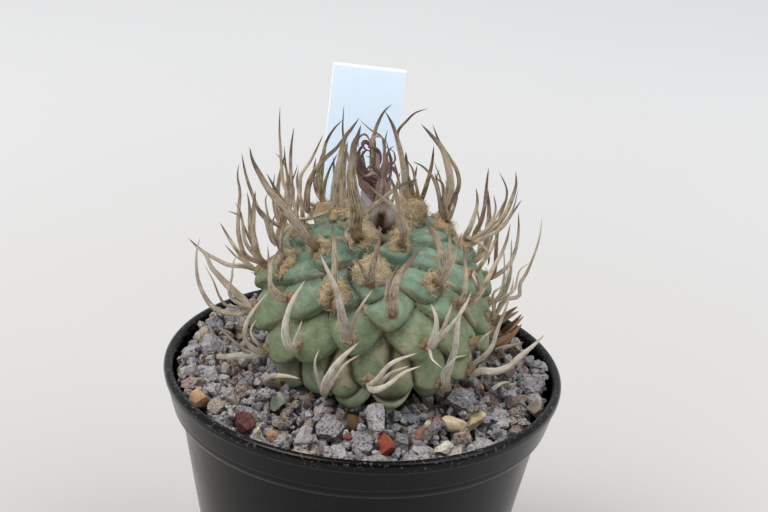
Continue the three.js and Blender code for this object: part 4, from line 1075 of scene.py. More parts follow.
# Each row: areole, width in pixels, how far the middle bows and how far the point comes towards
# the viewer in millimetres, then its pixels from foot to point.
SPINES = [
    (-11, 7.5, 3, 8, (267, 383), (271, 376.5), (285, 376), (300, 378.5)),
    (-10, 7.5, 1, 0, (480, 371), (494, 371.6), (508, 367), (520, 356.4), (534, 345), (545, 334)),
    (-8, 8.5, 3, 4, (327, 380), (338, 362), (359, 342)),
    (-8, 4, 2, 2, (316, 372), (315, 361), (319, 349)),
    (-8, 4.5, 1, 1, (338, 374), (348, 362), (361, 354)),
    (-5, 7.5, 2, 1, (449, 367), (455, 349), (457, 331), (460, 314), (468, 299)),
    (-5, 4, 2, 3, (443, 372), (449, 365), (457, 357), (467, 355.5)),
    (-3, 6, 3, 3, (264, 353.5), (255.5, 350.5), (247, 342), (245, 330), (249.5, 317), (258, 304.5),
     (268, 292)),
    (-3, 4, 1, 1, (261, 347), (254.5, 340), (251, 330), (256.5, 319)),
    (0, 6.5, 3, 3, (376, 381), (392, 363), (417, 353)),
    (0, 5, 2, 2, (378, 385), (391, 373), (409, 366)),
    (0, 6.5, 4, 5, (373, 390), (386, 386), (405, 372), (421, 366)),
    (102, 10.5, 0, 0, (253, 355), (241, 356.5), (228, 357), (214, 357), (206.5, 358.5),
     (209.5, 364.5)),
    (102, 5, 0, 0, (253, 353.5), (246, 351), (238, 345), (230, 338), (221, 329), (214, 321)),
    (103, 5, 1, 1, (480, 359), (486.5, 354), (492.5, 345.5), (497, 331), (502.5, 317), (508, 301),
     (512, 283)),
    (3, 3, 1, 0, (480, 342), (486, 335), (493, 330)),
    (5, 8, 3, 3, (288, 345), (285, 329), (290, 306), (305, 280)),
    (5, 5, 1, 1, (296, 339), (299, 330), (302, 320)),
    (8, 8, 3, 3, (435, 334), (436, 317), (431, 304)),
    (8, 6, 1, 1, (441, 334), (446, 322), (452, 304)),
    (8, 5, 3, 2, (446, 331), (457, 318), (464.5, 308), (471.5, 291)),
    (8, 3, 2, 3, (432, 359), (437, 364), (443, 369)),
    (10, 5.5, 0, -1, (241, 313), (228, 313), (214.5, 308), (205.5, 297.5), (199, 283),
     (196.3, 266), (197, 249), (200.5, 237)),
    (10, 7.5, -1, -2, (246, 302), (229, 287), (220, 277), (211.5, 267), (205, 254), (193, 244.5)),
    (10, 3, 0, 0, (226, 305), (220, 297.5), (212.5, 279), (204.5, 265)),
    (10, 4, 1, 0, (240, 304), (231, 297), (229, 288), (232, 277), (233, 264), (237, 254)),
    (11, 3, 1, 0, (493.5, 293), (502, 286), (507, 275), (509, 262)),
    (11, 3.5, -1, -2, (503, 299), (514, 290), (520, 270), (531, 262)),
    (11, 4, -1, -3, (506, 300), (519, 296), (520, 284), (526.5, 273), (534.5, 254), (540, 235),
     (542, 217)),
    (11, 3.5, 0, 0, (495.5, 302), (505, 297), (511.5, 291), (513.5, 277)),
    (13, 9, 3, 3, (343, 320), (336, 290), (320, 254)),
    (13, 5.5, 3, 3, (353, 325), (360, 308), (373, 289)),
    (15, 5, 0, -1, (243, 258), (235, 247.5), (229, 238), (220, 222.5)),
    (15, 5, -1, -2, (243, 266), (229, 265), (216, 259), (204, 252), (188, 238)),
    (15, 3, 0, 0, (243, 261), (233.5, 254), (224.5, 244)),
    (16, 6, 2, 1, (462, 301), (464.5, 294), (466, 278), (465, 260), (463, 244)),
    (16, 5.5, 1, -1, (469, 304), (479, 295), (487, 280), (495, 265), (502, 252.5), (507, 239),
     (510.5, 223)),
    (16, 4.5, 2, 1, (471, 299), (479.5, 290.5), (478.5, 283), (474, 272)),
    (18, 5.5, 2, 2, (284, 300.5), (277, 297.5), (271.5, 290), (270, 277), (271.5, 264),
     (277, 253.5), (284.5, 243.5)),
    (18, 3, 1, 1, (270.5, 281), (269, 262), (267.5, 244.5)),
    (19, 4, -1, -2, (498, 225), (507, 192), (499, 171)),
    (19, 4.5, -1, -2, (508, 266), (515, 252), (518.5, 232), (518.5, 212)),
    (21, 10, 4, 4, (394, 293), (399, 276), (420, 249)),
    (21, 6, 3, 3, (387, 296), (390, 280), (402, 262)),
    (23, 5, 0, -1, (246, 256), (240, 241), (238, 226.5), (238.5, 212), (240, 192), (237.5, 175.5),
     (239, 163.5)),
    (23, 8, 1, 0, (258, 257), (255, 247), (252.5, 232.5), (253.3, 212), (255.5, 190.5)),
    (23, 5.5, 1, 0, (253, 243), (250, 227.5), (249.5, 207), (247, 191.5)),
    (23, 4.5, 2, 1, (253, 253), (245, 241), (243, 226), (241, 217), (234, 213), (227.5, 211)),
    (23, 3.5, 2, 1, (243, 224), (240.5, 212), (234.5, 201.5)),
    (24, 5, 2, 0, (480, 266), (488, 255), (500, 230)),
    (24, 5, 3, 3, (474, 276), (477, 284), (479, 293)),
    (26, 7, 2, 1, (334, 278), (334.5, 250), (332, 222)),
    (27, 5, 0, 0, (475.5, 232), (481, 221.5), (484.5, 207), (486.5, 186), (488.7, 167.5)),
    (27, 3.5, 0, 0, (484, 232), (495.5, 211), (493.5, 194)),
    (28, 4, 0, 0, (288, 197), (283, 181.5), (281.5, 165), (280.5, 149), (279.5, 130.5),
     (280, 106)),
    (28, 5, 0, 0, (291, 202), (290.5, 165), (291, 149), (294, 127)),
    (28, 3.5, 0, 0, (289, 190), (285.5, 163), (284, 145)),
    (28, 3.5, 0, 0, (287, 180), (284, 163), (275, 152.5)),
    (28, 4.5, -1, -1, (262, 215), (251.5, 192), (246, 175.5), (241.5, 153)),
    (28, 3, 1, 0, (270, 220), (266.5, 209), (265.7, 198), (269, 191.5)),
    (28, 8, 0, 0, (276, 243), (270, 232), (264.5, 216), (255.5, 205)),
    (29, 10, 3, 3, (443, 268), (441, 250), (425, 220)),
    (29, 6.5, 4, 3, (448, 262), (450, 244), (449, 223)),
    (29, 5, 3, 2, (449, 272), (456, 252), (462, 232)),
    (31, 4.5, 1, 0, (279, 246), (273, 234), (272, 224), (276, 213)),
    (31, 4, 1, 0, (281, 244), (283, 226), (287, 214)),
    (32, 6.5, 1, -1, (467, 243.5), (480, 236), (493.5, 227), (504, 216), (511.5, 200),
     (516, 185.5), (515.7, 171)),
    (32, 5, 2, 1, (467, 246), (484.5, 237.5), (502.5, 227), (511.5, 214.5), (522, 199.5)),
    (32, 3.5, 1, 0, (484, 232), (493.5, 221.5), (507, 197)),
    (32, 3, 1, 0, (498, 228), (512, 211), (518.5, 189)),
    (32, 4.5, 3, 3, (468, 237.5), (479.5, 243), (486.5, 250), (489, 259), (487.5, 266.5)),
    (32, 6, 2, 1, (466, 236), (469.5, 228.5), (475.5, 212.5), (477.5, 200), (476, 187.5)),
    (34, 9, 4, 4, (372, 268), (377, 250), (381.5, 231)),
    (34, 6, 4, 5, (365, 275), (360, 265), (354, 256)),
    (36, 4.5, 0, -1, (300, 190), (301, 175.5), (310.5, 161), (316.5, 149), (323.5, 134)),
    (36, 5, 1, 0, (303, 222), (302.5, 215), (301.5, 202), (297, 181.5), (298.6, 168.5)),
    (36, 5, 1, 0, (297, 218), (293.5, 200), (294.5, 186)),
    (39, 9.5, 4, 3, (306.5, 238), (295, 222), (282, 206), (269, 190), (261.5, 177.5), (252.5, 160),
     (249.5, 146.5)),
    (39, 7, 3, 2, (301, 226), (292, 214), (286, 205), (277, 192), (266.5, 173)),
    (40, 9, 1, 0, (443, 207), (449, 192), (450, 176.5), (447, 163), (442.5, 149), (431.5, 135.5),
     (421, 124)),
    (40, 5, 0, -1, (449, 207), (453, 200), (459, 184.5), (457, 171), (449, 157), (439, 141),
     (432.5, 124)),
    (40, 5, 3, 2, (441, 210), (440, 202), (436.5, 186.5), (431.5, 175.5), (422, 166),
     (412.5, 161.5)),
    (40, 3.5, 3, 2, (444, 208), (443, 198), (443, 184), (436.5, 177.5), (441, 168.5)),
    (41, 6.5, 0, 0, (309, 212), (307, 197), (309, 183.5), (316, 169), (326.5, 157), (335.5, 149),
     (343, 139), (351, 128)),
    (41, 5, 0, -1, (321, 180), (323.5, 156), (325.5, 144), (333.5, 129.5), (343.5, 119)),
    (41, 3.5, 2, 1, (310, 204), (309, 192), (310.5, 182), (320.5, 174)),
    (42, 8, 4, 4, (404, 236), (402.5, 222.5), (399, 210), (397, 197), (394, 186.5), (388.5, 174)),
    (42, 5.5, 5, 6, (402, 222), (397, 212), (390, 204), (381.5, 197), (371.5, 188), (361, 178.5)),
    (46, 3, 0, 0, (350, 165), (343, 134), (344, 104)),
    (47, 13, 4, 3, (355.5, 230.5), (356.5, 212), (354, 197), (351.5, 175.5), (353, 157),
     (354.5, 143), (357.5, 136.5), (361, 124.5)),
    (47, 6.5, 3, 3, (357, 219), (361, 215), (373.5, 206), (384.5, 198), (392, 191), (402, 184.5),
     (419, 179)),
    (47, 4.5, 3, 4, (346, 232), (347, 240), (349, 250)),
    (48, 7, 0, 0, (406, 192), (405, 181.5), (404, 171), (401, 154), (397, 138), (392, 123.5),
     (384.5, 110.5)),
    (48, 4.5, -1, -1, (402, 160), (398, 145), (398, 131.5), (407, 120.5), (415, 113),
     (428, 108.5)),
    (48, 5, 0, 0, (425, 190), (431.5, 166), (434, 145)),
    (48, 4, 1, 1, (418, 195), (415, 180), (412.5, 169), (406, 158.5)),
    (49, 4, 3, 3, (322, 214), (307.5, 219), (299, 219), (292, 224.5), (285, 231.5), (280, 243),
     (277.5, 249.5)),
    (49, 8.5, 0, 0, (334.5, 217), (334.5, 197), (336.5, 176.5), (340, 161), (342, 149), (345, 137),
     (351, 129.5), (359.5, 117.5)),
    (49, 7, 0, 0, (341, 212), (341, 187), (339.5, 163)),
    (51, 6, 0, 0, (374, 175), (372, 150), (375.5, 129.5), (384.5, 111), (392.5, 104)),
    (51, 4, 0, 0, (385, 170), (385, 141), (388, 129)),
    (51, 3, 0, 0, (386, 170), (384, 150), (381.5, 136.5), (371.5, 130.5), (359, 119)),
]
# Areoles on the far side, whose spines the photograph doesn't show, and the first of the crown.
HIDDEN = (6, 14, 17, 20, 22, 25, 30, 33, 35, 38)
CROWN_START = 46
# Old blades of areoles 2 and 3 come out lower down, between the tubercles. Their rows are numbered
# LOW_BLADE higher, and these are the places where they start.
LOW_BLADE = 100
LOW_FEET = {102: (math.radians(-88), float(np.interp(53.2, outline_z, outline_s))),
            103: seen_place((471, 364))}


def areole_of(row):
    """The number of the areole that a row's spine belongs to."""
    return row[0] - LOW_BLADE if row[0] in LOW_FEET else row[0]


def scatter(n):
    """A number between 0 and 1 that is always the same for the same n."""
    value = math.sin(n * 12.9898 + 4.137) * 43758.5453
    return value - math.floor(value)


def between(first, second, t, low, high):
    """Straight from the first to the second while t runs from low to high."""
    return first + (second - first) * (t - low) / (high - low)


def flowing(points, count):
    """Evenly spaced points on a smooth curve through these."""
    points = np.asarray(points, float)
    padded = np.concatenate([[2 * points[0] - points[1]], points, [2 * points[-1] - points[-2]]])
    fine = []
    for a, b, c, d in zip(padded, padded[1:], padded[2:], padded[3:]):
        k0, k1, k2, k3 = np.cumsum([0] + [
            max(np.linalg.norm(q - p), 1e-6) ** 0.5 for p, q in ((a, b), (b, c), (c, d))])
        t = np.linspace(k1, k2, 17)[:-1, None]
        ab, bc, cd = between(a, b, t, k0, k1), between(b, c, t, k1, k2), between(c, d, t, k2, k3)
        abc, bcd = between(ab, bc, t, k0, k2), between(bc, cd, t, k1, k3)
        fine.append(between(abc, bcd, t, k1, k2))
    fine = np.concatenate([*fine, points[-1:]])
    run = np.concatenate([[0], np.cumsum(np.linalg.norm(np.diff(fine, axis=0), axis=1))])
    even = np.linspace(0, run[-1], count)
    return np.stack([np.interp(even, run, fine[:, k]) for k in range(3)], 1), run[-1]


def strands(name, courses):
    """Thin strands as open lines: each has points, a front, half widths, a flatness and a tone."""
    points, edges, layers = [], [], {k: [] for k in (
        "half_width", "flat", "facing", "along", "run", "strand", "tone")}
    for number, (course, front, half, flat, tone) in enumerate(courses):
        course, length = flowing(course, max(10, int(7 + 1.3 * np.linalg.norm(
            np.diff(np.asarray(course), axis=0), axis=1).sum())))
        t = np.linspace(0, 1, len(course))
        along = np.gradient(course, axis=0)
        along /= np.linalg.norm(along, axis=1)[:, None]
        front = np.broadcast_to(front, course.shape)
        side = np.cross(along, front)
        side /= np.linalg.norm(side, axis=1)[:, None]
        front = np.cross(side, along)
        twist = (scatter(number * 7 + len(points)) - 0.5) * 0.9 * t[:, None]
        front = front * np.cos(twist) + side * np.sin(twist)
        edges += [(len(points) + i, len(points) + i + 1) for i in range(len(course) - 1)]
        points.extend(course)
        for label, values in (("half_width", half(t)), ("flat", flat + 0 * t), ("facing", front),
                              ("along", t), ("run", t * length), ("strand", number + 0 * t),
                              ("tone", tone + 0 * t)):
            layers[label].extend(values)
    return new_piece(name, points, [], layers, edges)


swept = Growth("swept_strands", Sides=int, Ribbing=float, Rib_size=float)
line = swept.node("GeometryNodeMeshToCurve", sockets=[swept.shape])
line = swept.keep(line, "axis", swept.node("GeometryNodeInputPosition"), "FLOAT_VECTOR")
line = swept.node("GeometryNodeSetCurveNormal", {"mode": "FREE"}, {
    "Curve": line, "Normal": swept.layer("facing", "FLOAT_VECTOR")})
section = swept.node("GeometryNodeCurvePrimitiveCircle", sockets={
    "Resolution": swept.given("Sides"), "Radius": 1.0})
section = swept.keep(section, "section", swept.node("GeometryNodeInputPosition"), "FLOAT_VECTOR")
blade = swept.node("GeometryNodeCurveToMesh", sockets={
    "Curve": line, "Profile Curve": section, "Scale": swept.layer("half_width") * MM,
    "Fill Caps": True})
across = swept.layer("section", "FLOAT_VECTOR") * swept.layer("half_width")
grain = swept.node("ShaderNodeCombineXYZ", sockets=[
    swept.part(across, "X"), swept.part(across, "Y"),
    swept.layer("run") * 0.08 + swept.layer("strand") * 7.3])
blade = swept.keep(blade, "grain", grain, "FLOAT_VECTOR")
away = swept.node("GeometryNodeInputPosition") - swept.layer("axis", "FLOAT_VECTOR")
facing = swept.layer("facing", "FLOAT_VECTOR")
ribs = (swept.node("ShaderNodeTexNoise", sockets={
    "Vector": swept.layer("grain", "FLOAT_VECTOR"), "Scale": 1 / swept.given("Rib size"),
    "Detail": 2.0}) - 0.5) * swept.given("Ribbing")
blade = swept.moved(blade, swept.scaled(away, ribs) + swept.scaled(
    facing, away.work("DOT_PRODUCT", facing) * (swept.layer("flat") - 1)))
swept.end(blade)


def tapered(width, foot, belly, quick, taper, point, sharp):
    """Half widths along a strip: its share at the foot, its swelling, then its taper to a point."""
    def half(t):
        swelling = foot + belly * np.sin(np.pi * np.minimum(1, quick * t))
        return 0.5 * width * swelling * np.maximum(1 - t ** taper, point) ** sharp
    return half


def blade_width(width, lens):
    """Half widths of a blade: lens-shaped and quickly pointed, or widest at its foot."""
    return tapered(width, *((0.78, 0.24, 1.6, 3.2, 0.0016, 0.7) if lens else
                            (0.88, 0.14, 2, 3.4, 0.0012, 0.8)))


def seen_spine(row):
    """A spine's course: out of its areole, then along the sight lines of its pixels."""
    n, width, bow, tip, *pixels = row
    turn, s = areoles.get(n) or LOW_FEET[n]
    root = body_point(turn, s, 0.6 if n in areoles else 0)
    course = [body_point(turn, s, -0.3 if n in areoles else -2.5), root]
    for i, pixel in enumerate(pixels):
        t = (i + 1) / len(pixels)
        course.append(on_plane(pixel, root[1] - bow * math.sin(math.pi * t) - tip * t * t))
    lens = 0 <= areole_of(row) < 14
    return course, to_eye, blade_width(width * PIXEL, lens), 0.5 if width > 4.2 else 0.8


def unseen_spine(n, length, fan, width):
    """A spine on the far side: out from the stem, then upwards and a little inwards."""
    turn, s = areoles[n]
    outward = np.array([math.sin(turn), -math.cos(turn), 0])
    side = np.array([math.cos(turn), math.sin(turn), 0])
    steep = float(outline_at(s)[3])
    course = [body_point(turn, s, -0.3)] + [
        body_point(turn, s, 0.6) + outward * length * (0.62 * t - (0.42 + 0.25 * steep) * t * t)
        + side * length * fan * t + np.array([0, 0, 1]) * length * (
            (0.2 + 0.4 * steep) * t + (0.72 - 0.4 * steep) * t * t) for t in (0, 0.33, 0.66, 1)]
    return course, outward + np.array([0, 0, 0.3]), blade_width(width, n < 14), 0.5


def papery(name, foot, shade, light, point, speck, weathered):
    """Dry spine tissue: ribbed along its length, dark at the foot and point, finely specked."""
    dry = Finish(name, specular_ior_level=0.3)
    grain = dry.layer("grain", "Vector")
    along = dry.layer("along")
    ribs = dry.noise(0.24, 3, 0.6, grain)
    fine = dry.noise(0.07, 2, 0.5, grain)
    patches = dry.noise(1.7, 4, 0.65)
    share = ((ribs - 0.5) * 3.0 + (fine - 0.5) * 1.2 + (patches - 0.5) * 2.2
             + dry.layer("tone") * 0.7 + 0.2).held()
    grey = (dry.noise(2.6, 3, 0.6) * 0.7 + ribs * 0.3).step(0.44, 0.56)
    specks = (dry.noise(0.24, 3, 0.6) * 0.6 + ribs * 0.4).step(0.56, 0.64)
    colour = dry.coated(
        dry.blend(share, shade, light), (grey * share * 0.65, weathered),
        (specks * dry.noise(2.2, 2).step(0.42, 0.58) * 0.8, speck),
        ((1 - (along + patches * 0.3).step(0.12, 0.48)) * 0.85, foot),
        ((along + patches * 0.2 + ribs * 0.1).step(0.78, 1.08) * 0.85, point))
    return dry.wear(Base_Color=colour, Roughness=ribs * 0.2 + 0.6,
                    Normal=dry.bump(ribs * 0.9 + fine * 0.3 + patches * 0.3, 0.16))


# Each age: the areole number that it ends before, its slot and its finish.
SPINE_AGES = (
    (14, "spines_old", papery(
        "bleached_spines", (0.40, 0.30, 0.19), (0.34, 0.275, 0.205), (0.70, 0.65, 0.565),
        (0.55, 0.47, 0.37), (0.28, 0.18, 0.105), (0.62, 0.585, 0.525))),
    (38, "spines_grown", papery(
        "tan_spines", (0.215, 0.110, 0.042), (0.190, 0.130, 0.085), (0.64, 0.535, 0.385),
        (0.115, 0.078, 0.055), (0.070, 0.044, 0.032), (0.50, 0.445, 0.385))),
    (99, "spines_young", papery(
        "olive_brown_spines", (0.225, 0.120, 0.045), (0.110, 0.070, 0.034), (0.51, 0.41, 0.275),
        (0.055, 0.038, 0.022), (0.050, 0.030, 0.020), (0.46, 0.405, 0.355))))


def spine_piece(name, owners, *nodes):
    """The spines of these areoles as one piece, in the finish of their age."""
    courses = []
    for k, row in enumerate(SPINES):
        if areole_of(row) in owners:
            # Broad blades are paler, and those of areoles 9 to 13 are darker.
            slim = row[1] < 6
            tone = scatter(300 + k) * 0.95 + (0 if slim else 0.2) - (0.7 if 8 < row[0] < 14 else 0)
            courses.append((*seen_spine(row), tone))
    for n in set(owners) & set(HIDDEN):
        length = 12 + 5 * scatter(n) if n < 28 else 9.5 + 2.5 * scatter(n)
        for k, (share, fan, width) in enumerate((
                (0.8, -0.22, 0.7), (1, 0.02, 1.3), (0.8, 0.24, 0.7), (0.6, -0.1, 0.5))):
            courses.append((*unseen_spine(n, length * share, fan, width), scatter(n * 5 + k)))
    piece = strands(name, courses)
    _, slot, finish = next(age for age in SPINE_AGES if min(owners) < age[0])
    swept.grow(piece, finish, Sides=12, Ribbing=0.35, Rib_size=0.16)
    return settled(piece, finish, slot, *nodes)


seen_owners = {areole_of(row) for row in SPINES}
clustered = [n for n in numbers if n < CROWN_START and (n in seen_owners or n in HIDDEN)]
for n in clustered:
    spine_piece(f"spines_{n - FIRST_AREOLE:02d}", [n], f"spine_cluster_{n - FIRST_AREOLE:02d}")
spine_piece("spines_crown", [n for n in seen_owners if n >= CROWN_START], "crown_wool")

# Litter on the gravel behind the plant: a fallen spine and curled scraps of old flowers.
# Each row: width in pixels, tone, height over the bed in millimetres, climb from pixel to pixel.
LITTER = [
    (4.5, 1.0, 1.6, 0, (492, 389.5), (502.5, 383), (511, 382)),
    (7, 0.35, 3.2, 0.6, (490, 346), (502, 340), (515, 332)),
    (5.5, 0.1, 3.6, 1.8, (502, 332), (512, 324), (522, 314)),
    (5, 0.7, 3.0, 0, (495, 350), (508, 346.5), (524, 342)),
    (7, 0.0, 3.0, 0, (470, 353), (480, 346), (491, 338)),
    (10, 0.50, 2.4, 1.7, (478, 343), (498, 323), (519, 311)),
    (9, 0.36, 2.0, 1.1, (484, 353), (505, 341), (522, 324)),
    (7, 0.62, 3.4, 2.6, (489, 328), (504, 316), (518, 306)),
    (6, 0.42, 2.6, 1.2, (492, 337), (508, 330), (524, 316))]
litter = strands("fallen_litter", [
    ([on_level(pixel, BED_TOP + high + climb * k) for k, pixel in enumerate(pixels)], to_eye,
     blade_width(width * PIXEL, True), 0.5, tone) for width, tone, high, climb, *pixels in LITTER])
scraps = Finish("dry_litter", roughness=0.8, specular_ior_level=0.25)
fibre = scraps.noise(0.2, 3, 0.6, scraps.layer("grain", "Vector"))
colour = scraps.ramp(
    scraps.layer("tone"), (0.0, (0.085, 0.050, 0.032)), (0.35, (0.27, 0.145, 0.075)),
    (0.7, (0.40, 0.32, 0.26)), (1.0, (0.66, 0.60, 0.52)))
litter_finish = scraps.wear(
    Base_Color=scraps.blend(fibre.step(0.4, 0.7) * 0.5, colour, (0.14, 0.09, 0.06)),
    Normal=scraps.bump(fibre, 0.12))
swept.grow(litter, litter_finish, Sides=12, Ribbing=0.4, Rib_size=0.2)
settled(litter, litter_finish, "gravel", "gravel_bed")


# The wool: a felted pad in each areole round the feet of its spines. It is cream and thick where
# it is young, a small brown socket where it has worn away, and one loose mat over the crown.
MAT, PAD_SIDES, PAD_RINGS = 700, 30, 15
# Half width, half height and thickness of a pad, and how far up from its areole it lies.
BARE_WOOL = (1.1, 1.1, 0.8, 0.2)
WOOL = {
    26: (2.5, 2.8, 1.6, -0.4), 29: (2.1, 2.0, 1.4, 0.2), 31: (1.8, 2.4, 1.5, -0.3),
    32: (1.7, 1.7, 1.3, 0.2), 34: (3.2, 2.7, 1.7, 2.3), 36: (2.0, 2.0, 1.6, 0.0),
    39: (1.9, 2.0, 1.5, 0.4), 40: (2.0, 2.0, 1.6, 0.0), 41: (2.1, 2.3, 1.8, -0.3),
    42: (1.9, 1.8, 1.5, 0.3), 46: (2.0, 2.8, 1.4, 0.5), 47: (2.2, 3.0, 1.6, 1.4),
    48: (2.3, 2.2, 3.4, 0.4), 49: (2.0, 2.0, 1.6, 0.0), 50: (1.8, 1.8, 1.5, 0.0),
    51: (1.6, 1.6, 1.4, 0.0), 52: (1.5, 1.5, 1.3, 0.0), 53: (1.4, 1.4, 1.2, 0.0)}


def wool_pads(name, owners, mat=False):
    """Closed pads in the frame of each areole, hollowed where the spines come out."""
    points, faces, layers = [], [], {"socket": [], "worn": [], "hairy": []}
    shapes = [(n, *WOOL.get(n, BARE_WOOL), *areoles[n]) for n in owners]
    if mat:
        shapes.append((MAT, 5.2, 5.2, 1.2, 0, 0, outline_s[-1]))
    for n, wide, tall, thick, shift, turn, s in shapes:
        middle = body_point(turn, s + shift, -0.3)
        out = body_point(turn, s + shift, 0.7) - middle if n < MAT else np.array([0, 0, 1.0])
        side = np.array([math.cos(turn), math.sin(turn), 0])
        up = np.cross(out, side)
        rings, leans = [], np.linspace(-90, 90, PAD_RINGS)
        for lean in np.radians(leans):
            pole = abs(math.cos(lean)) < 1e-6
            rings.append(range(len(points), len(points) + (1 if pole else PAD_SIDES)))
            for i in range(1 if pole else PAD_SIDES):
                a = 2 * math.pi * i / PAD_SIDES
                ragged = 0.82 + 0.34 * scatter(n * 31 + i // 3) * abs(math.sin(a * 2.5 + n))
                x, y = math.cos(lean) * ragged * math.sin(a), -math.cos(lean) * ragged * math.cos(a)
                hole = math.exp(-((x * wide) ** 2 + max(0.0, y * tall + shift) ** 2) / (
                    0.30 + 0.16 * wide) ** 2)
                hole = hole if n < MAT and lean > 0 else 0
                rise = math.sin(lean) * thick * (1 if lean > 0 else 0.5)
                points.append(middle + side * x * wide + up * y * tall
                              + out * (rise - 0.65 * thick * hole))
                layers["socket"].append(hole)
                layers["worn"].append(0.0 if n in WOOL or n == MAT else 0.6 + 0.4 * scatter(n))
                layers["hairy"].append(1.0 if lean > -0.1 else 0.0)
        faces += bridged(rings)
    return new_piece(name, points, faces, layers)


HAIR_KINDS = 12
hair_shapes = bpy.data.collections.new("hair_shapes")
for i in range(HAIR_KINDS):
    t = np.linspace(0, 1, 6)
    curl, rise, bend = 2 + 4 * scatter(i), 0.14 + 0.3 * scatter(i + 20), scatter(i + 40) * 6.28
    course = np.stack([
        t * (0.8 + 0.7 * scatter(i + 60)), 0.28 * (np.sin(curl * t + bend) - math.sin(bend)),
        rise * np.sin(np.pi * t * 0.8) - 0.05], 1)
    thick = (0.03, 0.045, 0.07)[i % 3]
    points, faces = ringed([[
        at + thick * (1 - 0.6 * k / 5) * np.array([0, math.cos(a), math.sin(a)])
        for a in (0, 2.094, 4.189)] for k, at in enumerate(course)])
    hair = new_piece(f"hair_{i:02d}", points, faces + [(2, 1, 0), (15, 16, 17)])
    stored(hair, hair_shapes)

felted = Growth("felted_wool", Hairs="collection", Hairs_each=float, Hair_scale=float,
                Lump_depth=float, Seed=int)


def drawn(low, high, seed, kind="FLOAT"):
    """A number between two, drawn for each hair by its seed."""
    return felted.node("FunctionNodeRandomValue", {"data_type": kind},
                       {"Min": low, "Max": high, "Seed": seed})


place = felted.node("GeometryNodeInputPosition")
lift = (felted.noise(place, 0.9, 3) - 0.5) * felted.given("Lump depth") + (
    felted.noise(place, 0.3, 2) - 0.5) * felted.given("Lump depth") * 0.5
pad = felted.moved(felted.shape, felted.scaled(felted.node("GeometryNodeInputNormal"), lift * MM))
feet = felted.node("GeometryNodeDistributePointsOnFaces", sockets={
    "Mesh": pad, "Selection": felted.layer("hairy") > 0.5,
    "Density": felted.given("Hairs each") * 1e6, "Seed": felted.given("Seed")})
spin = felted.node("FunctionNodeEulerToRotation", sockets=[
    felted.node("ShaderNodeCombineXYZ", sockets={"Z": drawn(0, 6.283, 3)})])
hairs = felted.strewn(
    feet, felted.given("Hairs"), drawn(0, HAIR_KINDS - 1, 8, "INT"),
    felted.node("FunctionNodeRotateRotation", {"rotation_space": "LOCAL"},
                [feet.also("Rotation"), spin]),
    drawn(0.6, 1.5, 5) * felted.given("Hair scale"))
hairs = felted.node(
    "GeometryNodeStoreNamedAttribute", {"data_type": "FLOAT", "domain": "INSTANCE"},
    {"Geometry": hairs, "Name": "tone", "Value": drawn(0.3, 1.0, 13)})
both = felted.node("GeometryNodeJoinGeometry", sockets=[hairs])
felted.tree.links.new(pad.socket, both.socket.node.inputs[0])
felted.end(both)

felt = Finish("felted_wool", roughness=0.95, specular_ior_level=0.15)
fibres = felt.noise(0.30, 4, 0.75, warp=1.6)
patches = felt.noise(1.4, 3, 0.6)
pale = felt.layer("tone")
share = (fibres - 0.5) * 1.8 + pale * 0.75 + (patches - 0.5) * 0.6 + 0.34
cream = felt.blend(share.held(), (0.34, 0.215, 0.095), (0.97, 0.86, 0.62))
cream = felt.blend(patches.step(0.47, 0.66) * (0.55 - pale * 0.4), cream, (0.56, 0.33, 0.125))
brown = felt.blend(share.held(), (0.16, 0.083, 0.036), (0.62, 0.47, 0.29))
colour = felt.blend(felt.layer("worn") * (0.5 + patches * 0.5), cream, brown)
colour = felt.blend((felt.layer("socket") * 0.8).held(), colour, (0.150, 0.070, 0.024))
felt_finish = felt.wear(Base_Color=colour, Normal=felt.bump(fibres, 0.3))


def wool_piece(name, owners, *nodes, mat=False):
    """The pads of these areoles with their loose curled hairs."""
    piece = wool_pads(name, owners, mat)
    woolly = mat or owners[0] in WOOL
    felted.grow(piece, felt_finish, Hairs=hair_shapes, Hairs_each=7.0 if woolly else 4.0,
                Hair_scale=0.85 if woolly else 0.7, Lump_depth=1.3 if woolly else 0.8,
                Seed=40 + abs(owners[0]))
    return settled(piece, felt_finish, "wool", *nodes)


for n in clustered:
    wool_piece(f"wool_{n - FIRST_AREOLE:02d}", [n], f"spine_cluster_{n - FIRST_AREOLE:02d}")
wool_piece("wool_crown", list(range(CROWN_START, LAST_AREOLE + 1)), "crown_wool", mat=True)
discard(hair_shapes)


# The dried flower: the shrivelled remains of one bloom that stayed on the crown. A pale papery
# bulb has split down its front, a withered tube stands on it, and its petals have curled up.
FLOWER_Y, BULB_RINGS, BULB_SIDES = -4.3, 46, 72
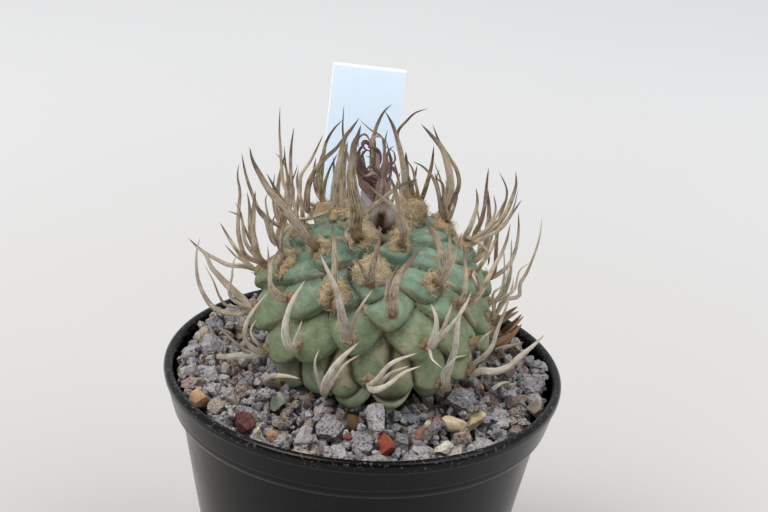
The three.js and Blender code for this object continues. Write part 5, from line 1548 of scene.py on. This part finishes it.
# Each place up the bulb: pixel and radius in millimetres.
bulb_course = [((382, 233), 0.25), ((382, 231), 1.1), ((382, 228), 1.75), ((382, 222), 2.05),
               ((381.5, 214), 2.0), ((381, 206), 1.65), ((381, 199), 1.2), ((382, 193), 0.95),
               ((383, 186), 1.0), ((383, 180), 1.15), ((383, 176), 0.85), ((383, 174), 0.3)]
path, _ = flowing([on_plane(pixel, FLOWER_Y) for pixel, _ in bulb_course], BULB_RINGS)
radii = np.interp(np.linspace(0, 1, BULB_RINGS), np.linspace(0, 1, len(bulb_course)),
                  [r for _, r in bulb_course])
points, rings, layers = [], [], {"slot": [], "high": []}
for k, (centre, radius) in enumerate(zip(path, radii)):
    rings.append(range(len(points), len(points) + BULB_SIDES))
    high = k / (BULB_RINGS - 1)
    for i in range(BULB_SIDES):
        a = 2 * math.pi * i / BULB_SIDES
        split = math.exp(-(math.remainder(a + 0.32 - high, 2 * math.pi) / 0.46) ** 4) * math.exp(
            -((high - 0.22) / 0.19) ** 4)
        fold = 0.055 * math.sin(9 * a + 4 * high) + 0.04 * math.sin(14 * a - 7 * high + 1)
        r = radius * (1 + fold * (1 + 1.5 * (high > 0.5)) - 0.42 * split)
        points.append(centre + np.array([r * math.sin(a), -0.92 * r * math.cos(a), 0]))
        layers["slot"].append(split)
        layers["high"].append(high)
faces = bridged(rings) + [tuple(reversed(rings[0])), tuple(rings[-1])]
bulb = new_piece("dried_bulb", points, faces, layers)
husk = Finish("dry_husk", specular_ior_level=0.25, roughness=0.8)
high = husk.layer("high")
folds = husk.noise(0.5, 4, 0.6, warp=0.8)
colour = husk.ramp(
    high, (0.0, (0.030, 0.016, 0.011)), (0.12, (0.085, 0.060, 0.045)),
    (0.22, (0.22, 0.195, 0.155)), (0.42, (0.31, 0.29, 0.265)), (0.55, (0.17, 0.125, 0.105)),
    (0.75, (0.33, 0.25, 0.22)), (1.0, (0.20, 0.14, 0.12)))
colour = husk.blend(folds.step(0.4, 0.75) * 0.55, colour, (0.13, 0.080, 0.058))
# Painted shade: the split is darkened inside, over the rust-brown of the tissue within.
colour = husk.blend((husk.layer("slot") * 1.4).held(), colour, husk.blend(
    folds.step(0.42, 0.62), (0.016, 0.007, 0.005), (0.13, 0.050, 0.020)))
bulb_finish = husk.wear(Base_Color=colour, Normal=husk.bump(folds, 0.2))
settled(bulb, bulb_finish, "dried_flower", "dried_flower")

# Each row: width in pixels, tone, how far the petal leans back, then its pixels from foot to tip.
PETALS = [
    (11, 0.9, 0.0, (379, 212), (373, 207), (366, 199), (361, 190)),
    (9, 0.9, 0.5, (377, 214), (369, 208), (362, 203), (359, 196)),
    (8, 0.0, 0.2, (379, 182), (370, 176), (362, 168), (358, 157), (360, 149), (365, 144)),
    (6, 0.05, -0.4, (378, 184), (368, 178), (359, 171), (357, 161), (361, 152)),
    (4, 0.1, 0.9, (366, 150), (362, 145), (365, 141.5), (370, 146), (370.5, 156)),
    (4, 0.05, 0.3, (368, 147), (374, 148), (379, 152), (381, 160), (379, 166)),
    (4, 0.2, 0.7, (372, 168), (375, 161), (374, 153), (371, 148)),
    (4.5, 0.08, -0.3, (380, 178), (376, 170), (370, 166), (366, 171)),
    (7, 0.5, 0.2, (383, 180), (384, 170), (385.5, 160), (384, 152), (387, 146)),
    (5, 0.4, 0.6, (385, 178), (388, 168), (386.5, 157), (390, 149), (394, 146)),
    (4, 0.15, 0.8, (386, 176), (392, 168), (396, 173), (399, 181)),
    (3.5, 0.1, 0.2, (388, 172), (391, 162), (389, 152), (386, 140)),
    (3, 0.15, -0.5, (381, 182), (374, 176), (366, 175), (361, 178)),
    (3, 0.6, -0.7, (379, 176), (373, 173), (366, 176), (362, 172)),
    (3, 0.35, -0.9, (384, 184), (389, 179), (391, 172), (394, 165)),
    (3, 0.05, 1.2, (382, 176), (376, 168), (372, 158), (366, 156)),
    (2.5, 0.2, 1.0, (364, 165), (361, 157), (367, 150), (373, 155)),
    (9, 0.32, 0.2, (373, 197), (367, 189), (361, 181), (357, 171)),
    (7, 0.12, 0.7, (376, 193), (370, 185), (364, 178), (360, 169)),
    (6, 0.62, 0.3, (379, 177), (377, 168), (378, 160), (376, 151)),
    (2.2, 0.75, 1.4, (361, 178), (368, 174.5), (376, 173), (384, 174)),
    (2, 0.7, 1.5, (361, 176), (367, 171.5), (375, 170)),
    (2.2, 0.3, 0.5, (358, 147), (359, 138), (364, 134), (368, 137), (370, 147)),
    (2.6, 0.58, 0.4, (372, 151), (370, 141), (375, 136.5), (383, 138), (386, 147)),
    (2.2, 0.25, 0.6, (388, 169), (395, 160), (393, 151), (388, 149)),
]


def shrivelled(width):
    """Half widths of a withered petal, wavy along its edge."""
    plain = tapered(width * PIXEL, 0.55, 0.45, 1.25, 5, 0.01, 0.5)
    return lambda t: plain(t) * (1 + 0.16 * np.sin(11 * t + width))


petals = strands("dried_petals", [
    ([on_plane(pixel, FLOWER_Y - 0.4 + depth * 1.6 * i / len(pixels))
      for i, pixel in enumerate(pixels)],
     to_eye + 0.5 * image_x * (-1) ** k, shrivelled(width), 0.22, tone)
    for k, (width, tone, depth, *pixels) in enumerate(PETALS)])
withered = Finish("withered_petals", specular_ior_level=0.3, roughness=0.75, subsurface_weight=0.05,
                  subsurface_scale=0.0008)
veins = withered.noise(0.11, 3, 0.6, withered.layer("grain", "Vector"))
colour = withered.ramp(
    withered.layer("tone"), (0.0, (0.050, 0.026, 0.026)), (0.3, (0.16, 0.085, 0.070)),
    (0.5, (0.27, 0.165, 0.135)), (0.9, (0.34, 0.31, 0.33)))
colour = withered.blend(veins.step(0.35, 0.7) * 0.45, colour, (0.30, 0.22, 0.19))
petal_finish = withered.wear(Base_Color=colour, Normal=withered.bump(veins, 0.08))
swept.grow(petals, petal_finish, Sides=14, Ribbing=0.5, Rib_size=0.3)
settled(petals, petal_finish, "dried_flower", "dried_flower")


low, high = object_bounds()
